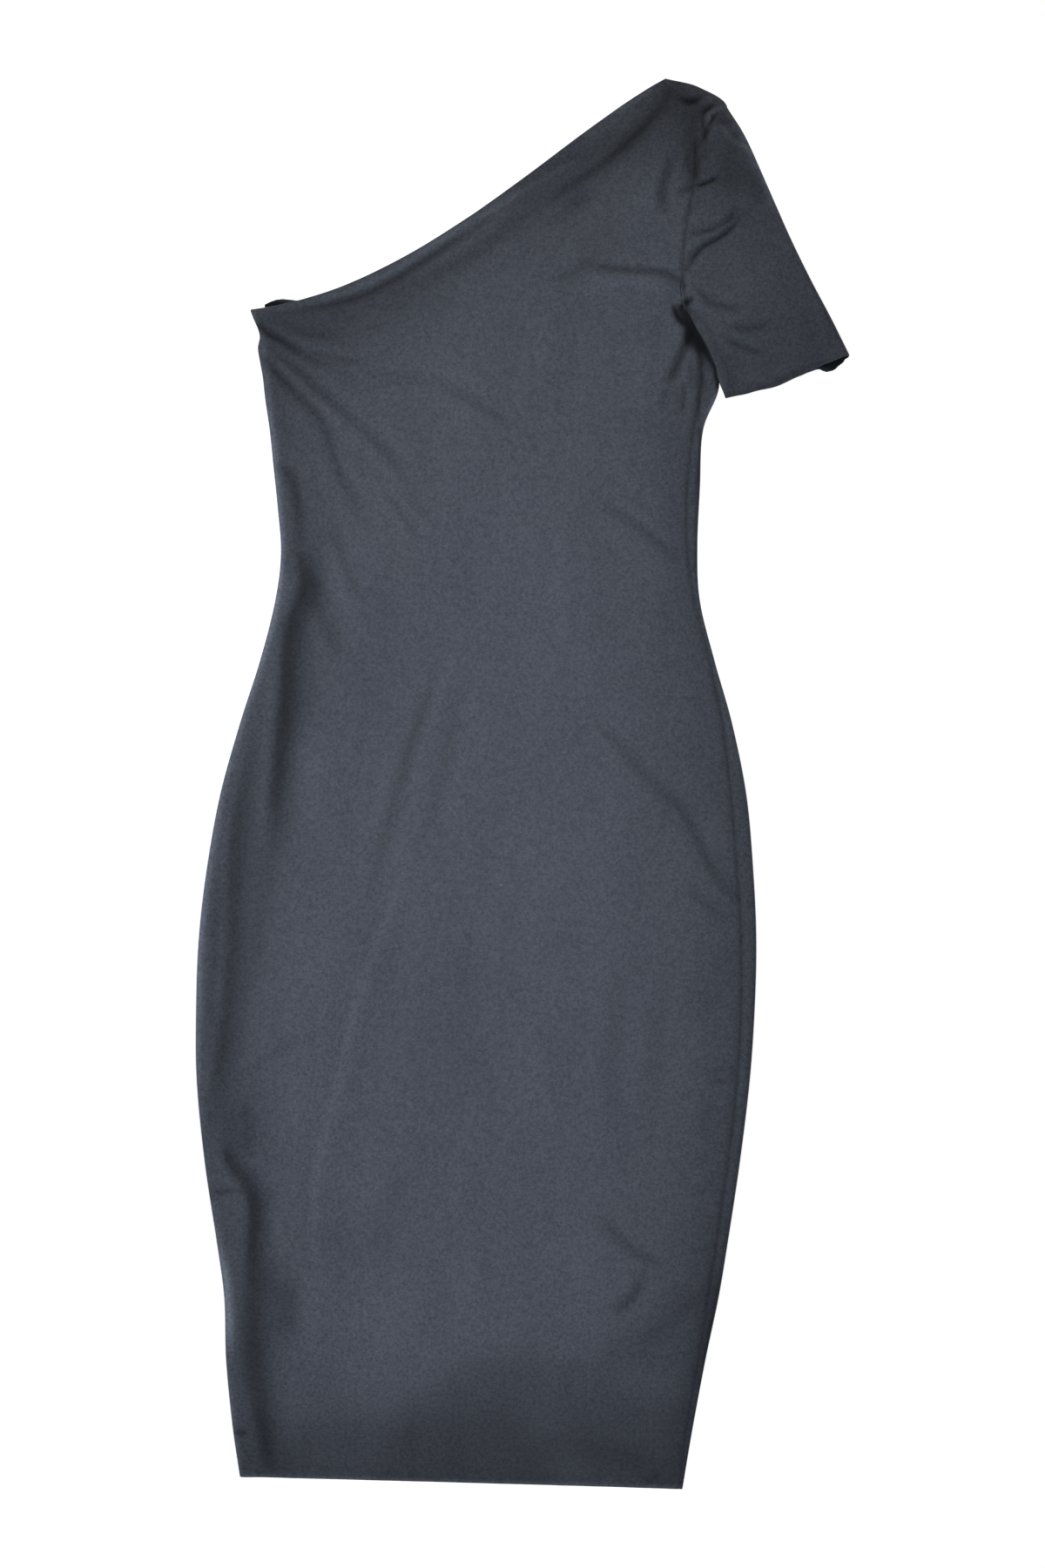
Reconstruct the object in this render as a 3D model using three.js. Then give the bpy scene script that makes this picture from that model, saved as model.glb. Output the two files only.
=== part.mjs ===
// A one-shoulder bodycon dress of double jersey, laid flat on a table with its front up.
// Millimetres. X runs across the dress, Y along it from hem to shoulder, and the table top is Z = 0.
// The body is one flattened tube, cut into a front and a back panel by the two side seams. Both seams
// have rolled a little: the right one shows on top, the left one lies underneath. One short sleeve is
// sewn round the armhole. Neck, hem and cuff are open.
import * as THREE from "three";

// A table's rows under its named columns.
const table = (names, rows) =>
  rows.map((row) => Object.fromEntries(names.map((name, i) => [name, row[i]])));

// Cloth
const CLOTH = 1.2; // wall: two layers of jersey, each panel being lined with itself
const SEAM_GAP = 0.3; // between two panels at a seam
const LAYER_GAP = 0.35; // least air between the front and the back where they lie on each other
const REST = CLOTH / 2; // middle of a wall that lies on the table
const LOWEST = REST + CLOTH + LAYER_GAP; // middle of the front where it lies right on the back
const SEAM_DIP = 0.45; // how far a panel's edge turns down into the side seam
const SEAM_DIP_REACH = 2.5;

// The front's height over the table
const PLATEAU = 4.4; // middle of the front wall, where nothing lifts or folds it
const EDGE_REACH = 16; // how far in a side's rounded edge carries
const FOLD_SHOULDER = 0.3; // share of a fold's depth that the cloth beside it rises
const FOLD_SHOULDER_REACH = 2.3; // in fold widths

// How finely the panels are made
const SECTIONS_PER_STATION = 2;
const UNDER_STEPS = 1;
const ARC_STEPS = 5;
const STRIP_STEPS = 2;
const FRONT_STEPS = 24;
const FRONT_END_STEPS = 3;
const FRONT_END = 3.5; // length of a panel's last steps before the right seam or the armhole
const BACK_STEPS = 9;
const SLEEVE_RINGS = 13;
const SLEEVE_TOP_STEPS = 16;
const SLEEVE_UNDER_STEPS = 12;
const OPEN_EDGE_STEP = 1.5; // length of the back's last step at the armhole, where nothing turns
const EDGE_CLUSTER = 0.62; // 0 spaces a panel's points evenly, 1 crowds them at its edges

// Stations of the body, from hem to neck. Each names the outline's point on the left and on the right,
// the way the section runs there (degrees above the X axis), the radius of the rounded edges, how far
// the back turns round the right edge (degrees) and then lies on top up to the seam (strip), and how
// far the front turns down there. A turn of 0 is the armhole, where the tube is open.
const UNDER_STRIP = 9; // from the left edge to the left seam, underneath
const BODY = table(
  ["leftX", "leftY", "leftSlope", "leftFold", "rightX", "rightY", "rightSlope", "rightFold",
    "turn", "strip", "frontTurn"],
  [
    [-227, -555.5, -1.5, 1.5, 128.5, -565.5, -2, 1.1, 180, 1, 0],
    [-233, -514, -1, 1.7, 136.5, -518, -1, 1.2, 180, 2, 0],
    [-238, -462, 0, 1.95, 147, -462, 0, 1.3, 180, 3.5, 0],
    [-239.5, -412, 0, 1.9, 157.5, -412, 0, 1.4, 180, 6, 0],
    [-245.5, -367, 0, 2.2, 165, -367, 0, 1.5, 180, 6.5, 0],
    [-255, -304, 0, 2.5, 174.5, -304, 0, 1.6, 180, 7, 0],
    [-261.5, -238, 0, 2.6, 182.5, -238, 0, 1.6, 180, 7.5, 0],
    [-262, -180, 0, 2.7, 186.5, -180, 0, 1.6, 180, 8.5, 0],
    [-260, -126, 0, 2.7, 187.8, -126, 0, 1.6, 180, 9.5, 0],
    [-254, -72, 0, 2.6, 185.5, -72, 0, 1.6, 180, 10.5, 0],
    [-243, -10, 0, 2.5, 180, -10, 0, 1.6, 180, 10, 0],
    [-227, 48, 0, 2.3, 168.5, 48, 0, 1.5, 180, 5.5, 0],
    [-211, 98, 1, 2, 154.5, 98, 1, 1.3, 180, 2, 0],
    [-199, 145, 1, 1.7, 142.5, 147, 2, 1.2, 180, 2, 0],
    [-194, 184, 2, 1.7, 140.5, 190, 2, 1.3, 180, 6, 0],
    [-196.5, 221, 2, 1.65, 142.5, 238, 4, 1.4, 180, 8, 0],
    [-200, 255, 3, 1.65, 145, 284, 5, 1.4, 180, 5.5, 0],
    [-203, 284, 3, 1.65, 157.5, 317, 6, 1.4, 180, 12, 0],
    [-206.5, 308, 4, 1.65, 155.5, 347, 7, 1.3, 180, 10.5, 0],
    [-208.5, 326, 4, 1.7, 131.5, 382, 8, 1.2, 150, 0, 0],
    [-211, 340, 5, 1.7, 128.5, 416, 10, 1.3, 0, 0, 0],
    [-212.5, 350, 6, 1.65, 132, 450, 14, 1.5, 0, 0, 0],
    [-211, 358, 7, 1.6, 138, 482, 19, 1.7, 0, 0, 0],
    [-212, 364, 8, 1.65, 142.5, 512, 24, 2, 0, 0, 0],
    [-214, 369, 9, 1.8, 164.5, 541.5, 34, 2.3, 60, 0, 60],
    [-216, 373.5, 10, 1.8, 142.5, 558.5, 36, 2.4, 86, 0, 86],
    [-218.5, 380, 8, 1.9, 115.5, 565.5, 31, 2.4, 86, 0, 86],
  ],
);
const UNDERARM_STATION = 19.2;
// Between the sleeve and the panels, more at its ends, where the body's edges are rounded.
const ARMHOLE_GAP = { middle: 0.4, shoulder: 1.3, underarm: 1.9, reach: 0.2 };
const SHOULDER_STATION = 24;
const LEFT_PULL = 1.0; // how strongly each end's slope shapes a section, in section lengths
const RIGHT_PULL = 0.55;

// Towards the neck edge the sections sag to the left of their middle and rise to the right of it.
const NECK_SWAY = { height: 2.4, stations: 6 };
// The back's neck edge lies just below the front's, and stands out past it where the neck gapes by
// the left corner. It has settled over the last stations.
const NECK_GAPE = { behind: -2, beyond: 5.5, at: 22, reach: 17, stations: 3 };

// Stations of the sleeve after the armhole, down to the cuff: its outer edge, its underarm edge, and
// their radii. The armhole gives the first station its place.
const SLEEVE_HEAD = { outerFold: 2.3, lowerFold: 1.3 };
const SLEEVE = table(
  ["outerX", "outerY", "lowerX", "lowerY", "outerFold", "lowerFold"],
  [
    [178.5, 518.5, 139.0, 367.5, 2.6, 1.6],
    [196.0, 480.0, 146.3, 354.5, 2.6, 1.6],
    [214.5, 438.5, 151.6, 343.5, 2.6, 1.6],
    [231.0, 405.0, 155.6, 333.0, 2.7, 1.7],
    [247.5, 374.0, 157.8, 321.5, 2.9, 1.8],
    [262.0, 345.0, 162.5, 309.5, 3.2, 1.9],
  ],
);
const ARMHOLE_FADE = 1.6; // how fast the armhole's curve leaves the sleeve's sections
// The cuff's edge, from its outer to its underarm corner: how far the front and the back of the sleeve
// reach past the straight line between the two.
const CUFF = table(
  ["at", "front", "back"],
  [
    [0, 0, 0],
    [0.08, 0.5, 4.8],
    [0.15, 0.9, 7.4],
    [0.2, 0.9, 6.9],
    [0.26, 1.5, 2.2],
    [0.41, 3.2, 2.2],
    [0.6, 4.7, 3.4],
    [0.8, 2.5, 1.4],
    [1, 0, 0],
  ],
);
// Where the sleeve's underarm lies over the back panel's strip, it is lifted clear of it.
const SLEEVE_LIFT = { height: 4.6, full: 5, reach: 15, fromX: 139, fromY: 366, toX: 157.5, toY: 320 };

// Broad swells of the front and the sleeve over the plateau.
const SWELLS = table(
  ["where", "x", "y", "reachX", "reachY", "height"],
  [
    ["hem", -60, -600, 400, 110, -1.0],
    ["hips", -40, -110, 150, 260, 0.7],
    ["bust", 40, 330, 110, 90, 0.9],
    ["shoulder", 118, 500, 70, 60, 1.3],
    ["neck roll", 60, 525, 60, 28, 0.5],
    ["sleeve", 205, 415, 50, 75, 1.3],
    ["cuff", 230, 345, 40, 28, 0.8],
  ],
);

// The largest folds: the line each runs along, its depth (below zero) or rise, its half width, and
// how much of it is left at its start and at its end.
const FOLDS = table(
  ["name", "rise", "width", "start", "end", "path"],
  [
    ["waist valley", -3.4, 9, 0.2, 0,
      [[-193, 256], [-181, 205], [-184, 148], [-188, 76], [-197, -46]]],
    ["left hip trough", -2.2, 11, 0, 0.3,
      [[-231, -40], [-237, -105], [-239, -175], [-235, -273]]],
    ["left hem trough", -2.6, 9, 0.2, 0.5,
      [[-237, -300], [-213, -337], [-219, -392], [-217, -450], [-199, -536]]],
    ["neck roll, left", -1.7, 6, 0.2, 0,
      [[-178, 375], [-126, 397], [-95, 414], [-64, 431]]],
    ["neck roll, right", -2.6, 9, 0, 0.7,
      [[14, 452], [62, 497], [91, 525], [120, 555]]],
    ["left corner crease", -2.6, 6, 1, 0,
      [[-213, 363], [-199, 360], [-186, 351], [-166, 339]]],
    ["underarm drag, upper", -1.3, 8, 0.8, 0,
      [[-206, 349], [-174, 324], [-142, 301], [-101, 252], [-79, 212]]],
    ["underarm drag, lower", -1.5, 8, 0.8, 0,
      [[-208, 338], [-181, 311], [-157, 287], [-143, 240], [-126, 214]]],
    ["bust crease", -2.0, 7, 1, 0,
      [[129, 402], [112, 411], [84, 414], [60, 421]]],
    ["waist crease, right", -1.6, 8, 0, 0.6,
      [[45, 231], [74, 218], [102, 206], [132, 180]]],
    ["hip drag, right", -1.7, 10, 0, 0.7,
      [[63, 49], [105, 0], [137, -42], [172, -91]]],
    ["hem drag, right", -1.6, 8, 0, 0,
      [[56, -339], [74, -361], [95, -380], [120, -390]]],
    ["hem drag, small", -1.5, 8, 0.4, 0,
      [[96, -388], [84, -410], [63, -424]]],
    ["shoulder gully", -3.8, 9, 0.8, 0.4,
      [[122, 552], [129, 525], [137, 494], [145, 480]]],
    ["sleeve head tuck", -2.4, 7, 0.8, 0,
      [[145, 480], [156, 486], [170, 496]]],
    ["sleeve drag", -2.0, 7, 0.5, 0,
      [[135, 419], [146, 435], [163, 445], [182, 464]]],
    ["underarm sleeve drag", -1.4, 9, 0.5, 0,
      [[136, 399], [153, 390], [178, 379]]],
    ["skirt ridge", 1.3, 11, 0, 0,
      [[-59, 14], [-102, -84], [-134, -175], [-163, -336], [-152, -427]]],
  ],
);

const mix = (a, b, t) => a + (b - a) * t;
const clamp01 = (t) => Math.min(1, Math.max(0, t));
const ease = (t) => clamp01(t) ** 2 * (3 - 2 * clamp01(t));
const radians = THREE.MathUtils.degToRad;

// A column of a table at t, from 0 at its first row to 1 at its last, on a smooth curve through them.
function column(table, name, t) {
  const place = clamp01(t) * (table.length - 1);
  const row = Math.min(table.length - 2, Math.floor(place));
  const [b, c] = [table[row][name], table[row + 1][name]];
  const a = row > 0 ? table[row - 1][name] : 2 * b - c;
  const d = row < table.length - 2 ? table[row + 2][name] : 2 * c - b;
  const f = place - row;
  return b + 0.5 * f * (c - a + f * (2 * a - 5 * b + 4 * c - d + f * (3 * (b - c) + d - a)));
}

// A column whose first entry in each row is its place, read on straight lines between the rows.
function lookUp(table, name, at) {
  const next = Math.max(1, table.findIndex((row) => row.at >= at));
  const [a, b] = [table[next - 1], table[next]];
  return mix(a[name], b[name], ease((at - a.at) / (b.at - a.at)));
}

// How much of a fold there is at (x, y): 1 on its line, fading to the sides and at its ends.
function foldShare(fold, x, y) {
  let nearest = { distance: Infinity, along: 0 };
  fold.path.slice(1).forEach(([bx, by], i) => {
    const [ax, ay] = fold.path[i];
    const [dx, dy] = [bx - ax, by - ay];
    const t = clamp01(((x - ax) * dx + (y - ay) * dy) / (dx * dx + dy * dy));
    const distance = Math.hypot(x - ax - t * dx, y - ay - t * dy);
    if (distance < nearest.distance) nearest = { distance, along: (i + t) / (fold.path.length - 1) };
  });
  const ends = 0.3; // share of its length over which a fold fades in or out
  const fade =
    mix(fold.start, 1, ease(nearest.along / ends)) * mix(fold.end, 1, ease((1 - nearest.along) / ends));
  const across = nearest.distance / fold.width;
  const beside = FOLD_SHOULDER * Math.exp(-((across / FOLD_SHOULDER_REACH) ** 2));
  return fade * (Math.exp(-(across ** 2)) - beside);
}

// Height of the middle of the front wall over the table, before the rounded edges take over.
function relief(x, y) {
  let z = PLATEAU;
  for (const s of SWELLS) {
    const apart = ((x - s.x) / s.reachX) ** 2 + ((y - s.y) / s.reachY) ** 2;
    z += s.height * Math.exp(-apart);
  }
  for (const fold of FOLDS) z += (fold.rise / (1 - FOLD_SHOULDER)) * foldShare(fold, x, y);
  const softness = 0.5; // rounds the place where the front comes down onto the back
  return LOWEST + softness * Math.log1p(Math.exp((z - LOWEST) / softness));
}

// Grows from 0 to 1 over the last stations before the neck edge.
const towardsNeck = (t, stations) => ease(((t - 1) * (BODY.length - 1)) / stations + 1);

// The plan of one section of the body: a curve from the left to the right outline that leaves and
// arrives along the station's slopes. at(d) is the point d along it, and tangents are unit vectors.
function sectionPlan(t) {
  const left = new THREE.Vector2(column(BODY, "leftX", t), column(BODY, "leftY", t));
  const right = new THREE.Vector2(column(BODY, "rightX", t), column(BODY, "rightY", t));
  const heading = (name) => {
    const angle = radians(column(BODY, name, t));
    return new THREE.Vector2(Math.cos(angle), Math.sin(angle));
  };
  const [leave, arrive] = [heading("leftSlope"), heading("rightSlope")];
  const chord = left.distanceTo(right);
  const sway = NECK_SWAY.height * towardsNeck(t, NECK_SWAY.stations);
  const point = (u) =>
    new THREE.Vector2(0, -sway * Math.sin(2 * Math.PI * u))
      .addScaledVector(left, 2 * u ** 3 - 3 * u ** 2 + 1)
      .addScaledVector(right, 3 * u ** 2 - 2 * u ** 3)
      .addScaledVector(leave, LEFT_PULL * chord * (u ** 3 - 2 * u ** 2 + u))
      .addScaledVector(arrive, RIGHT_PULL * chord * (u ** 3 - u ** 2));
  const steps = 48;
  const points = Array.from({ length: steps + 1 }, (_, i) => point(i / steps));
  const lengths = [0];
  for (let i = 1; i <= steps; i++) lengths.push(lengths[i - 1] + points[i].distanceTo(points[i - 1]));
  const at = (d) => {
    const i = Math.min(steps, Math.max(1, lengths.findIndex((l) => l >= d)));
    return points[i - 1].clone().lerp(points[i], (d - lengths[i - 1]) / (lengths[i] - lengths[i - 1]));
  };
  return { at, length: lengths[steps], leave, arrive };
}

// One section of the body's tube. top(d) and under(d) are points of the middle of the wall, d along
// the plan from the left outline; leftArc and rightArc are points of the rounded edges, the angle
// running from the underside (0) up to the top (180 degrees).
function bodySection(t) {
  const plan = sectionPlan(t);
  const leftFold = column(BODY, "leftFold", t);
  const rightFold = column(BODY, "rightFold", t);
  const turn = radians(clamp01(column(BODY, "turn", t) / 180) * 180);
  const frontTurn = radians(clamp01(column(BODY, "frontTurn", t) / 90) * 90);
  const strip = Math.max(0, column(BODY, "strip", t));
  const rounded = Math.sin(Math.min(turn, Math.PI / 2)); // 0 where the tube is open at the armhole
  const leftInset = leftFold + CLOTH / 2;
  const rightInset = (rightFold + CLOTH / 2) * rounded;
  const leftCentre = plan.at(leftInset);
  const rightCentre = plan.at(plan.length - rightInset);
  const runEnd = plan.length - rightInset;
  const seamAt = strip > 0 ? runEnd - strip : Infinity;
  const topHeight = (p, d) => {
    const fromLeft = 1 - ease((d - leftInset) / EDGE_REACH);
    const fromRight = rounded * (1 - ease((runEnd - d) / EDGE_REACH));
    let z = mix(relief(p.x, p.y), REST + 2 * leftFold, fromLeft);
    z = mix(z, REST + 2 * rightFold, fromRight);
    return z - SEAM_DIP * Math.exp(-(((d - seamAt) / SEAM_DIP_REACH) ** 2));
  };
  const onArc = (centre, heading, radius, angle) => {
    const p = centre.clone().addScaledVector(heading, radius * Math.sin(angle));
    return new THREE.Vector3(p.x, p.y, REST + radius * (1 - Math.cos(angle)));
  };
  return {
    turn, frontTurn, strip, rounded, leftInset, runEnd, leftFold, rightFold,
    top: (d) => {
      const p = plan.at(d);
      return new THREE.Vector3(p.x, p.y, topHeight(p, d));
    },
    under: (d) => {
      const p = plan.at(d);
      return new THREE.Vector3(p.x, p.y, REST);
    },
    leftArc: (angle) => onArc(leftCentre, plan.leave.clone().negate(), leftFold, angle),
    rightArc: (angle) => onArc(rightCentre, plan.arrive, rightFold, angle),
  };
}

// Shares from 0 to 1 that crowd towards both ends.
function crowded(steps) {
  return Array.from({ length: steps + 1 }, (_, i) => {
    const even = i / steps;
    return mix(even, (1 - Math.cos(Math.PI * even)) / 2, EDGE_CLUSTER);
  });
}
const stepsBetween = (from, to, steps) =>
  Array.from({ length: steps }, (_, i) => mix(from, to, i / steps));

// The front's middle line in one section: from the left seam underneath, round the left edge, over
// the top to the right seam, the armhole, or down the rounded shoulder.
function frontLine(t) {
  const s = bodySection(t);
  const line = [];
  const seam = s.leftFold + CLOTH / 2 + UNDER_STRIP + SEAM_GAP / -2;
  for (const d of stepsBetween(seam, s.leftInset, UNDER_STEPS)) line.push(s.under(d));
  for (const angle of stepsBetween(0, Math.PI, ARC_STEPS)) line.push(s.leftArc(angle));
  const end = s.runEnd + s.rightFold * s.frontTurn - s.strip - SEAM_GAP / 2;
  const last = end - Math.max(FRONT_END, s.rightFold * s.frontTurn);
  const places = [
    ...crowded(FRONT_STEPS).slice(0, -1).map((share) => mix(s.leftInset, last, share)),
    ...stepsBetween(last, end, FRONT_END_STEPS),
    end,
  ];
  for (const d of places)
    line.push(d <= s.runEnd ? s.top(d) : s.rightArc(Math.PI - (d - s.runEnd) / s.rightFold));
  return line;
}

// The back's middle line in one section: from the left seam along the table, round the right edge as
// far as it turns there, and over the top to the right seam.
function backLine(t) {
  const s = bodySection(t);
  const { behind, beyond, at, reach, stations } = NECK_GAPE;
  const settled = towardsNeck(t, stations);
  const gape = (d) => settled * mix(behind, beyond, Math.exp(-(((d - at) / reach) ** 2)));
  const round = s.rightFold * s.turn;
  const end = s.runEnd + round + s.strip - SEAM_GAP / 2;
  const stripStart = end - s.strip - OPEN_EDGE_STEP * (1 - s.rounded);
  const arcStart = stripStart - Math.max(round, FRONT_END);
  const seam = s.leftInset + UNDER_STRIP + SEAM_GAP / 2;
  const places = [
    ...crowded(BACK_STEPS).slice(0, -1).map((share) => mix(seam, arcStart, share)),
    ...stepsBetween(arcStart, stripStart, ARC_STEPS),
    ...stepsBetween(stripStart, end, STRIP_STEPS),
    end,
  ];
  return places.map((d) => {
    if (d > s.runEnd + round) return s.top(2 * s.runEnd + round - d);
    if (d > s.runEnd) return s.rightArc((d - s.runEnd) / s.rightFold);
    const p = s.under(d);
    p.y += gape(d);
    return p;
  });
}

// The armhole, from the shoulder to the underarm, just clear of the body panels' edges, which are
// straight from one section to the next.
function armhole(u) {
  const at = (share) => {
    const place = mix(SHOULDER_STATION, UNDERARM_STATION, clamp01(share)) * SECTIONS_PER_STATION;
    const section = Math.min(Math.floor(place), SHOULDER_STATION * SECTIONS_PER_STATION - 1);
    const [a, b] = [section, section + 1].map((i) => {
      const t = i / SECTIONS_PER_STATION / (BODY.length - 1);
      return new THREE.Vector2(column(BODY, "rightX", t), column(BODY, "rightY", t));
    });
    return a.lerp(b, place - section);
  };
  const step = 0.01;
  const along = at(u + step).sub(at(u - step)).normalize();
  const { middle, shoulder, underarm, reach } = ARMHOLE_GAP;
  const clear = mix(mix(middle, shoulder, ease(1 - u / reach)), underarm, ease(1 - (1 - u) / reach));
  return at(u).addScaledVector(new THREE.Vector2(-along.y, along.x), clear);
}

// One ring of the sleeve's tube, k from 0 at the armhole to 1 at the cuff.
const armholeEnds = [armhole(0), armhole(1)];
const sleeveStations = [
  {
    ...SLEEVE_HEAD,
    outerX: armholeEnds[0].x,
    outerY: armholeEnds[0].y,
    lowerX: armholeEnds[1].x,
    lowerY: armholeEnds[1].y,
  },
  ...SLEEVE,
];
function sleeveRing(k) {
  const size = (name) => column(sleeveStations, name, k);
  const outer = new THREE.Vector2(size("outerX"), size("outerY"));
  const lower = new THREE.Vector2(size("lowerX"), size("lowerY"));
  const outerFold = size("outerFold");
  const lowerFold = size("lowerFold");
  const across = lower.clone().sub(outer);
  const width = across.length();
  across.divideScalar(width);
  const outward = new THREE.Vector2(-across.y, across.x);
  const plan = (u, side) => {
    const p = outer.clone().lerp(lower, u);
    const bend = armhole(u).sub(armholeEnds[0].clone().lerp(armholeEnds[1], u));
    p.addScaledVector(bend, (1 - k) ** ARMHOLE_FADE);
    return p.addScaledVector(outward, k ** 2 * lookUp(CUFF, side, u));
  };
  const lift = (p) => {
    const { height, full, reach, fromX, fromY, toX, toY } = SLEEVE_LIFT;
    const [dx, dy] = [toX - fromX, toY - fromY];
    const share = clamp01(((p.x - fromX) * dx + (p.y - fromY) * dy) / (dx * dx + dy * dy));
    const distance = Math.hypot(p.x - fromX - share * dx, p.y - fromY - share * dy);
    return height * (1 - ease((distance - full) / reach));
  };
  const outerInset = outerFold + CLOTH / 2;
  const lowerInset = lowerFold + CLOTH / 2;
  const underHeight = (p) => REST + lift(p);
  const point = (u, side) => {
    const p = plan(u, side);
    const under = underHeight(p);
    if (side === "back") return new THREE.Vector3(p.x, p.y, under);
    const d = u * width;
    let z = Math.max(relief(p.x, p.y), under + CLOTH + LAYER_GAP);
    z = mix(z, under + 2 * outerFold, 1 - ease((d - outerInset) / EDGE_REACH));
    z = mix(z, under + 2 * lowerFold, 1 - ease((width - lowerInset - d) / EDGE_REACH));
    return new THREE.Vector3(p.x, p.y, z);
  };
  // A rounded edge between the top's and the underside's last points.
  const rounded = (u, radius, sign) => {
    const [high, low] = [point(u, "front"), point(u, "back")];
    return (angle) => {
      const p = low.clone().lerp(high, (1 - Math.cos(angle)) / 2);
      const out = radius * Math.sin(angle) * sign;
      return p.add(new THREE.Vector3(across.x * out, across.y * out, 0));
    };
  };
  const first = outerInset / width;
  const last = 1 - lowerInset / width;
  const outerArc = rounded(first, outerFold, -1);
  const lowerArc = rounded(last, lowerFold, 1);
  return [
    ...stepsBetween(0, Math.PI, ARC_STEPS).map(outerArc),
    ...stepsBetween(first, last, SLEEVE_TOP_STEPS).map((u) => point(u, "front")),
    ...stepsBetween(Math.PI, 0, ARC_STEPS).map(lowerArc),
    ...stepsBetween(last, first, SLEEVE_UNDER_STEPS).map((u) => point(u, "back")),
  ];
}

// Turns a grid of points on the middle of a cloth into a closed wall. lines[i][j] runs i along the
// dress and j across it, and loop says that each line closes on itself.
function wall(lines, loop) {
  const [rows, cols] = [lines.length, lines[0].length];
  const clampRow = (i) => Math.min(rows - 1, Math.max(0, i));
  const clampCol = (j) => (loop ? (j + cols) % cols : Math.min(cols - 1, Math.max(0, j)));
  const positions = [];
  for (const side of [1, -1])
    lines.forEach((line, i) =>
      line.forEach((p, j) => {
        const across = line[clampCol(j + 1)].clone().sub(line[clampCol(j - 1)]);
        const along = lines[clampRow(i + 1)][j].clone().sub(lines[clampRow(i - 1)][j]);
        const normal = across.cross(along).normalize();
        positions.push(...p.clone().addScaledVector(normal, (side * CLOTH) / 2).toArray());
      }),
    );
  const id = (side, i, j) => (side > 0 ? 0 : rows * cols) + i * cols + clampCol(j);
  const faces = [];
  const quad = (a, b, c, d) => faces.push(a, b, c, a, c, d);
  const spans = loop ? cols : cols - 1;
  for (let i = 0; i < rows - 1; i++)
    for (let j = 0; j < spans; j++) {
      quad(id(1, i, j), id(1, i, j + 1), id(1, i + 1, j + 1), id(1, i + 1, j));
      quad(id(-1, i, j), id(-1, i + 1, j), id(-1, i + 1, j + 1), id(-1, i, j + 1));
    }
  for (let j = 0; j < spans; j++) {
    quad(id(1, 0, j + 1), id(1, 0, j), id(-1, 0, j), id(-1, 0, j + 1));
    quad(id(1, rows - 1, j), id(1, rows - 1, j + 1), id(-1, rows - 1, j + 1), id(-1, rows - 1, j));
  }
  if (!loop)
    for (let i = 0; i < rows - 1; i++) {
      quad(id(1, i, 0), id(1, i + 1, 0), id(-1, i + 1, 0), id(-1, i, 0));
      quad(id(1, i + 1, cols - 1), id(1, i, cols - 1), id(-1, i, cols - 1), id(-1, i + 1, cols - 1));
    }
  const geometry = new THREE.BufferGeometry();
  geometry.setAttribute("position", new THREE.Float32BufferAttribute(positions, 3));
  geometry.setIndex(faces);
  geometry.computeVertexNormals();
  return geometry;
}

const jersey = new THREE.MeshStandardMaterial({ color: 0x4a4e58, roughness: 0.92, metalness: 0 });

function piece(name, lines, loop = false) {
  const mesh = new THREE.Mesh(wall(lines, loop), jersey.clone());
  mesh.name = name;
  return mesh;
}

const shares = (steps) => Array.from({ length: steps + 1 }, (_, i) => i / steps);
const sections = shares(SECTIONS_PER_STATION * (BODY.length - 1));
const dress = new THREE.Group();
dress.add(piece("front_panel", sections.map(frontLine)));
dress.add(piece("back_panel", sections.map(backLine)));
dress.add(piece("sleeve", shares(SLEEVE_RINGS).map(sleeveRing), true));

export default dress;
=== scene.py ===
# %% [markdown]
# # A one-shoulder jersey dress, laid flat
# A fitted midi dress of dark slate double jersey lies on a pale table with its front up. It has one
# short sleeve. This notebook dresses the rigid CAD frame of three pieces (front panel, back panel and
# sleeve) with finer cloth: a closed wall with rounded edges, the drag creases that the cloth took when
# it was laid down, and a knitted surface.
# Lengths in the tables are millimetres. X runs across the dress towards the sleeve, Y from hem to
# shoulder, and Z up off the table. Meshes are made in metres.

# %% Load the CAD frame
import math
import bpy
import numpy as np
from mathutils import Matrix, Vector


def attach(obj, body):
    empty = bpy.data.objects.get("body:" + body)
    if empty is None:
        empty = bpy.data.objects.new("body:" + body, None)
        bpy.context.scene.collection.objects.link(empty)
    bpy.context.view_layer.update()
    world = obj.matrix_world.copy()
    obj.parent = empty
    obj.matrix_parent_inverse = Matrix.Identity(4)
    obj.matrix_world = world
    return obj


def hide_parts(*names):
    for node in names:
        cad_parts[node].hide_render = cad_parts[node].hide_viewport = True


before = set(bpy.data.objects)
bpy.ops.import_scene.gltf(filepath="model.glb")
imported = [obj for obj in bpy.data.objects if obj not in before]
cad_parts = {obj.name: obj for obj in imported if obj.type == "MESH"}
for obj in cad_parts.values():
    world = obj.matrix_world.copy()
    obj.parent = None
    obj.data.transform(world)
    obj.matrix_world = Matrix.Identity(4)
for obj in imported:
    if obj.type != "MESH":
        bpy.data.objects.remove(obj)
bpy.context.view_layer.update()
MM = 0.001

# %% [markdown]
# ## Camera
# The photograph looks straight down, so that nothing of the sides shows. A long lens from two metres
# up keeps the outline undistorted. The picture is upright, and the frame is 1.26 m high.

# %% Camera straight above the dress
FRAME_HEIGHT = 1.26  # metres of table that the upright picture takes in
LENS = 60.0  # millimetres, on a sensor of the size below
SENSOR = 36.0
FAR_CLIP = 20.0
camera_data = bpy.data.cameras.new("overhead_camera")
camera_data.lens = LENS
camera_data.sensor_width = SENSOR
camera_data.clip_end = FAR_CLIP
camera = bpy.data.objects.new("overhead_camera", camera_data)
camera.location = (0.0, 0.0, FRAME_HEIGHT * LENS / SENSOR)
bpy.context.scene.collection.objects.link(camera)
bpy.context.scene.camera = camera
print("camera height in m:", round(camera.location.z, 3))

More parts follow.
